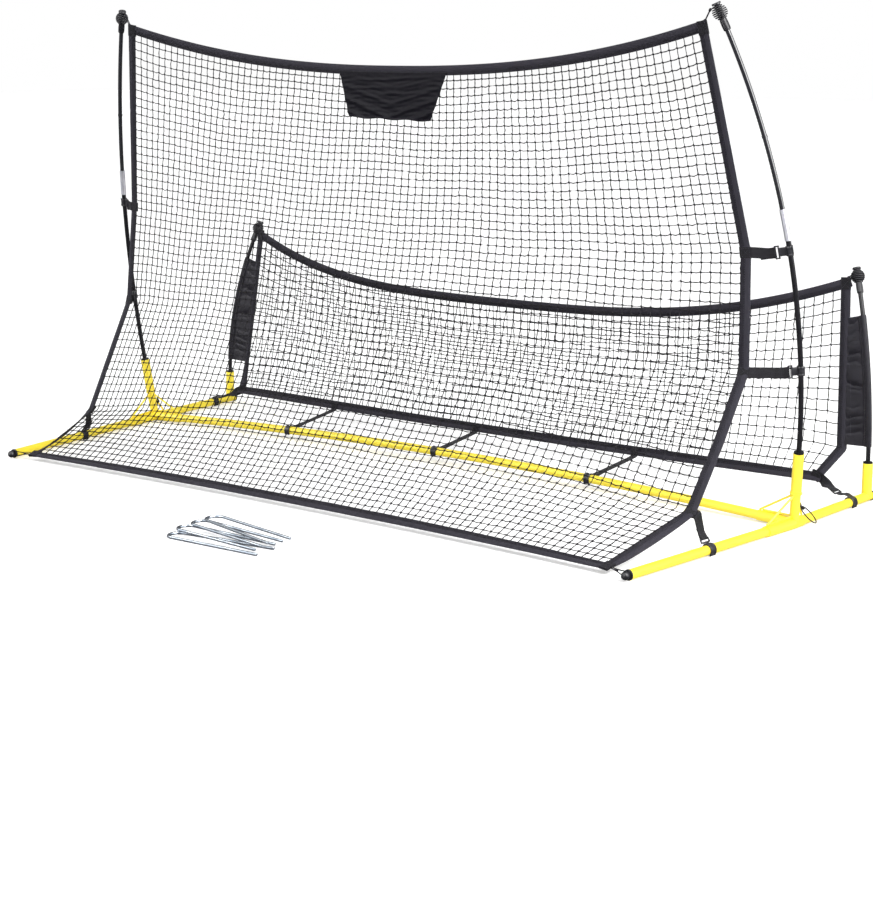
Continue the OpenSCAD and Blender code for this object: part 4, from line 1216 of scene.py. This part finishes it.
def make_cap(name):
    line = cap_profile()
    turned = new_mesh("cap_turned", [(r, 0, z) for r, z in line],
                      [(k, k + 1) for k in range(len(line) - 1)], [])
    apply_modifier(turned, "SCREW", steps=TURN_STEPS, render_steps=TURN_STEPS,
                   use_merge_vertices=True, merge_threshold=1e-5)
    mend(turned)
    smooth(turned, 50)
    out = np.column_stack([circle(1, np.radians(np.arange(0, 360, 45))), np.zeros(8)])
    up = np.broadcast_to((0.0, 0.0, 1.0), out.shape)
    middle = out * SKIRT_R + up * (-BALL_HALF - SKIRT / 2)
    ribs = stamp("cap_ribs", bead((SKIRT / 2 - 0.001, 0.0009, 0.0010), 8, 8), middle, up,
                 np.cross(up, out), out)
    return join_all([turned, ribs], name)


def pole_end(pole):
    """The tip of a pole and the direction in which it points."""
    return pole(1.0), unit(pole(1.0) - pole(0.999))


for kind, pole in (("tall", TALL_POLE), ("rear", REAR_POLE)):
    tip, up = pole_end(pole)
    cap = make_cap(kind + "_cap_rubber_right")
    turn = Vector(up).to_track_quat("Z", "Y").to_matrix().to_4x4()
    cap.data.transform(Matrix.Translation(tip) @ turn)
    for label, piece in pair(cap):
        hand_over(piece, rubber, kind + "_cap_" + label, slot="black_rubber")
    print(kind, "cap", len(cap.data.polygons), "faces")

# %% [markdown]
# ## Elastic ties
#
# One elastic cord holds each corner: doubled, knotted on the way, and looped round the neck of
# the cap. Most corners are covered with a folded patch of webbing, sewn with a cross.

# %% Elastic ties
ELASTIC_R = 0.0013
NECK_RUN = 0.0165
LUMP = np.array([0.0042, 0.0030, 0.0032])


def elastic_tie(name, neck, axis, neck_r, tie, knot_share, droop):
    """A cord from the tie, round the neck and back, with a knot between and one at the tie."""
    pull = (tie - neck) - (tie - neck).dot(axis) * axis
    reach, pull = np.linalg.norm(pull), unit(pull)
    side = np.cross(axis, pull)
    ring = neck_r + ELASTIC_R + 0.0002
    knot = neck + (tie - neck) * knot_share + np.array(droop)
    first = math.acos(min(0.9, ring / reach)) + 0.1
    turns = np.linspace(first, 2 * math.pi - first, 13)
    loop = [neck + ring * (math.cos(a) * pull + math.sin(a) * side) for a in turns]
    gap = side * ELASTIC_R * 1.15
    half_way = (tie + knot) / 2
    points = [tie + gap, half_way + gap * 1.3, knot + gap, *loop, knot - gap, half_way - gap * 1.3, tie - gap]
    path = chaikin(np.array(points), 2)
    cord = sweep(name, path_frames(path, axis), cord_profile(ELASTIC_R))
    print(name, run_length(path), "m of elastic")
    run = unit(tie - knot)
    lumps = [lump(centre + run * 0.0012 * tilt, unit(run * math.cos(tilt) + side * math.sin(tilt)),
                  axis, LUMP * size)
             for centre, size in ((knot, 1.0), (tie, 1.25)) for tilt in (0.5, -0.6)]
    return join_all([cord] + lumps, name)


tall_tip, tall_up = pole_end(TALL_POLE)
rear_tip, rear_up = pole_end(REAR_POLE)
ball_neck = np.array([0.97592, -0.34121, 0.013]) + np.array(FRONT_DIR) * 0.0060
CORNER_TIES = (
    ("tall_elastics", tall_tip + tall_up * NECK_RUN, tall_up, NECK_R,
     tall_net(0.996, 0.003) + (0, 0, 0.001), 0.45, (-0.0025, -0.0015, 0.0055)),
    ("rear_elastics", rear_tip + rear_up * NECK_RUN, rear_up, NECK_R,
     rear_net(0.993, 0.008) + (0, 0, 0.001), 0.5, (0, 0, -0.001)),
    ("apron_elastics", ball_neck, unit(FRONT_DIR), 0.0068, tall_net(0.99, 0.99), 0.55, (0, 0, 0)),
)
for node, *values in CORNER_TIES:
    for label, piece in pair(elastic_tie(node + "_cord_right", *values)):
        hand_over(piece, elastic, node, slot="elastic_cord")
print("elastic ties:", len(CORNER_TIES) * 2)

# %% Corner patches
TALL_U = 1 - SEAM_U / 2
REAR_U = 1 - REAR_SEAM_U / 2
PATCHES = (("top_corner_patch", tall_net, TALL_U, (0.0, TAPE_T * 1.25), 0.0262, 0.0029),
           ("apron_corner_patch", tall_net, TALL_U, (1 - TAPE_T * 1.1, 1.0), 0.0262, 0.0029),
           ("rear_corner_patch", rear_net, REAR_U, (0.0, REAR_TAPE_T * 1.05), 0.0258, 0.0026))
for name, surface, u, t_ends, width, lift in PATCHES:
    t = np.linspace(*t_ends, 12)
    frames = surface_frames(surface, u, t, -1, 0)
    centre, along, across = (part[6] for part in frames[:3])
    half_long = run_length(frames[0], 9) / 2 - 0.002
    patch = sweep(name, frames, web_profile(width, lift * 2))
    rows = stitch_box(name + "_stitches", centre, along, across, half_long, width / 2 - 0.002,
                      lift + 0.0003)
    patch = sewn(name, patch, rows)
    for piece in (patch, mirrored_copy(patch, name + "_left")):
        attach(piece, "frame_and_nets")
print("corner patches: 6")

# %% Storage loops
LOOP_SEAT = np.array([1.05668, 0.275764, 0.05437])
GUSSET = unit((0.0758329, -0.57034, 0.817901))
LOOP_ALONG = unit((0.531, 0.407, -0.743))
LOOP_ACROSS = unit((0.590, 0.452, 0.669))
LOOP_KNOT = LOOP_SEAT + (0.0073, 0.0055, -0.0075)
LOOP_MIDDLE = LOOP_KNOT + (0.0111, 0.0085, -0.0160)
LOOP_HALF = (0.026, 0.0065)
LOOP_CORD = 0.0015
LOOP_LUMP = (0.0050, 0.0036, 0.0040)
WRAP_R = 0.0047
WRAP_PITCH = 0.0022


def ring_path(centre, first, second, steps):
    turns = np.linspace(0, 2 * math.pi, steps)[:, None]
    return centre + np.cos(turns) * first + np.sin(turns) * second


def storage_loop(name):
    """A ring of elastic that hangs by a knot from the gusset rod."""
    ring = ring_path(LOOP_MIDDLE, LOOP_HALF[0] * LOOP_ALONG, LOOP_HALF[1] * LOOP_ACROSS, 49)
    outward = np.cross(LOOP_ALONG, LOOP_ACROSS)
    nearest = ring[np.argmin(np.linalg.norm(ring - LOOP_KNOT, axis=1))]
    stem = chaikin(np.array([LOOP_SEAT, LOOP_KNOT, (LOOP_KNOT + nearest) / 2, nearest]))
    print(name, run_length(ring), "m round the ring")
    first = unit(np.cross(GUSSET, (0, 1, 0)))
    paths = [(ring, outward), (stem, outward)]
    paths += [(ring_path(LOOP_SEAT + GUSSET * shift, WRAP_R * first, WRAP_R * np.cross(GUSSET, first), 25),
               GUSSET) for shift in (-WRAP_PITCH, 0.0, WRAP_PITCH)]
    cords = [sweep(name, path_frames(*path), cord_profile(LOOP_CORD)) for path in paths]
    lumps = [lump(LOOP_KNOT, lean, GUSSET, LOOP_LUMP)
             for lean in (LOOP_ALONG, unit(LOOP_ALONG + 1.2 * LOOP_ACROSS))]
    return join_all(cords + lumps, name)


for label, piece in pair(storage_loop("storage_cord_right")):
    node = "storage_loop_" + label
    hand_over(piece, elastic, node, slot="elastic_cord", body=node)

# %% [markdown]
# ## Floor and light
#
# A white floor and a bright, even sky, with a soft lamp from the right and a larger one from the
# left. Glossy surfaces see a dimmer room with two tall windows instead, which draws thin bright
# lines down the poles and leaves the rest of them black.

# %% Studio
SKY = 0.72
GLOSSY_SKY = 0.14
WHITE = (1, 1, 1, 1)
PALE = (0.93, 0.93, 0.93)
MIRRORED_FLOOR = (0.22, 0.22, 0.24)
FLOOR_GLOW = 0.36
WINDOWS = ((0.996, 0.083, 0.86, 0.91), (-0.224, -0.975, 0.945, 0.975))
WINDOW_LIGHT = 10.0

deselect_all()
bpy.ops.mesh.primitive_plane_add(size=60, location=(0, 0, -0.0004))
floor = bpy.context.object
floor.name = "studio_floor"
made = Finish("studio_floor", {"Roughness": 0.8, SHINE: 0.1, "Emission Color": WHITE})
rays = made.add("LightPath").outputs
made.show("Emission Strength", made.calc("MULTIPLY", rays["Is Camera Ray"], FLOOR_GLOW))
made.show("Base Color", made.mix(rays["Is Glossy Ray"], PALE, MIRRORED_FLOOR))
floor.data.materials.append(made.material)

scene.world = bpy.data.worlds.new("studio_sky")
scene.world.use_nodes = True
made = Recipe(scene.world.node_tree)
sky = made.tree.nodes["Background"].inputs
sky["Color"].default_value = WHITE
rays = made.add("LightPath").outputs
seen = made.calc("MAXIMUM", rays["Is Camera Ray"], rays["Is Transmission Ray"])
x, y, z = made.parts(made.add("TexCoord").outputs["Generated"])
squares = [made.calc("MULTIPLY", part, part) for part in (x, y)]
level = made.calc("SQRT", made.calc("ADD", *squares))
glow = made.spread(z, 0.3, 0.8, GLOSSY_SKY, 0.7)
for to_x, to_y, *pane in WINDOWS:
    facing = made.calc("ADD", made.calc("MULTIPLY", x, to_x), made.calc("MULTIPLY", y, to_y))
    light = made.spread(made.calc("DIVIDE", facing, level), *pane, 0.0, WINDOW_LIGHT)
    glow = made.calc("ADD", glow, light)
glossy = made.calc("MULTIPLY", rays["Is Glossy Ray"], made.calc("SUBTRACT", glow, SKY))
made.feed(sky["Strength"], made.calc("ADD", made.spread(seen, 0.0, 1.0, SKY, 1.0), glossy))


def soft_lamp(name, place, target, size, power):
    lamp = bpy.data.objects.new(name, bpy.data.lights.new(name, "AREA"))
    scene.collection.objects.link(lamp)
    lamp.data.shape = "DISK"
    lamp.data.size = size
    lamp.data.energy = power
    lamp.location = place
    lamp.rotation_euler = (Vector(target) - Vector(place)).to_track_quat("-Z", "Y").to_euler()


soft_lamp("key_lamp", (3.1, -0.9, 2.3), (0.9, -0.1, 0.1), 1.6, 110)
soft_lamp("fill_lamp", (-4.2, -3.0, 3.0), (0, 0, 0.3), 3.0, 110)
print("sky", SKY)
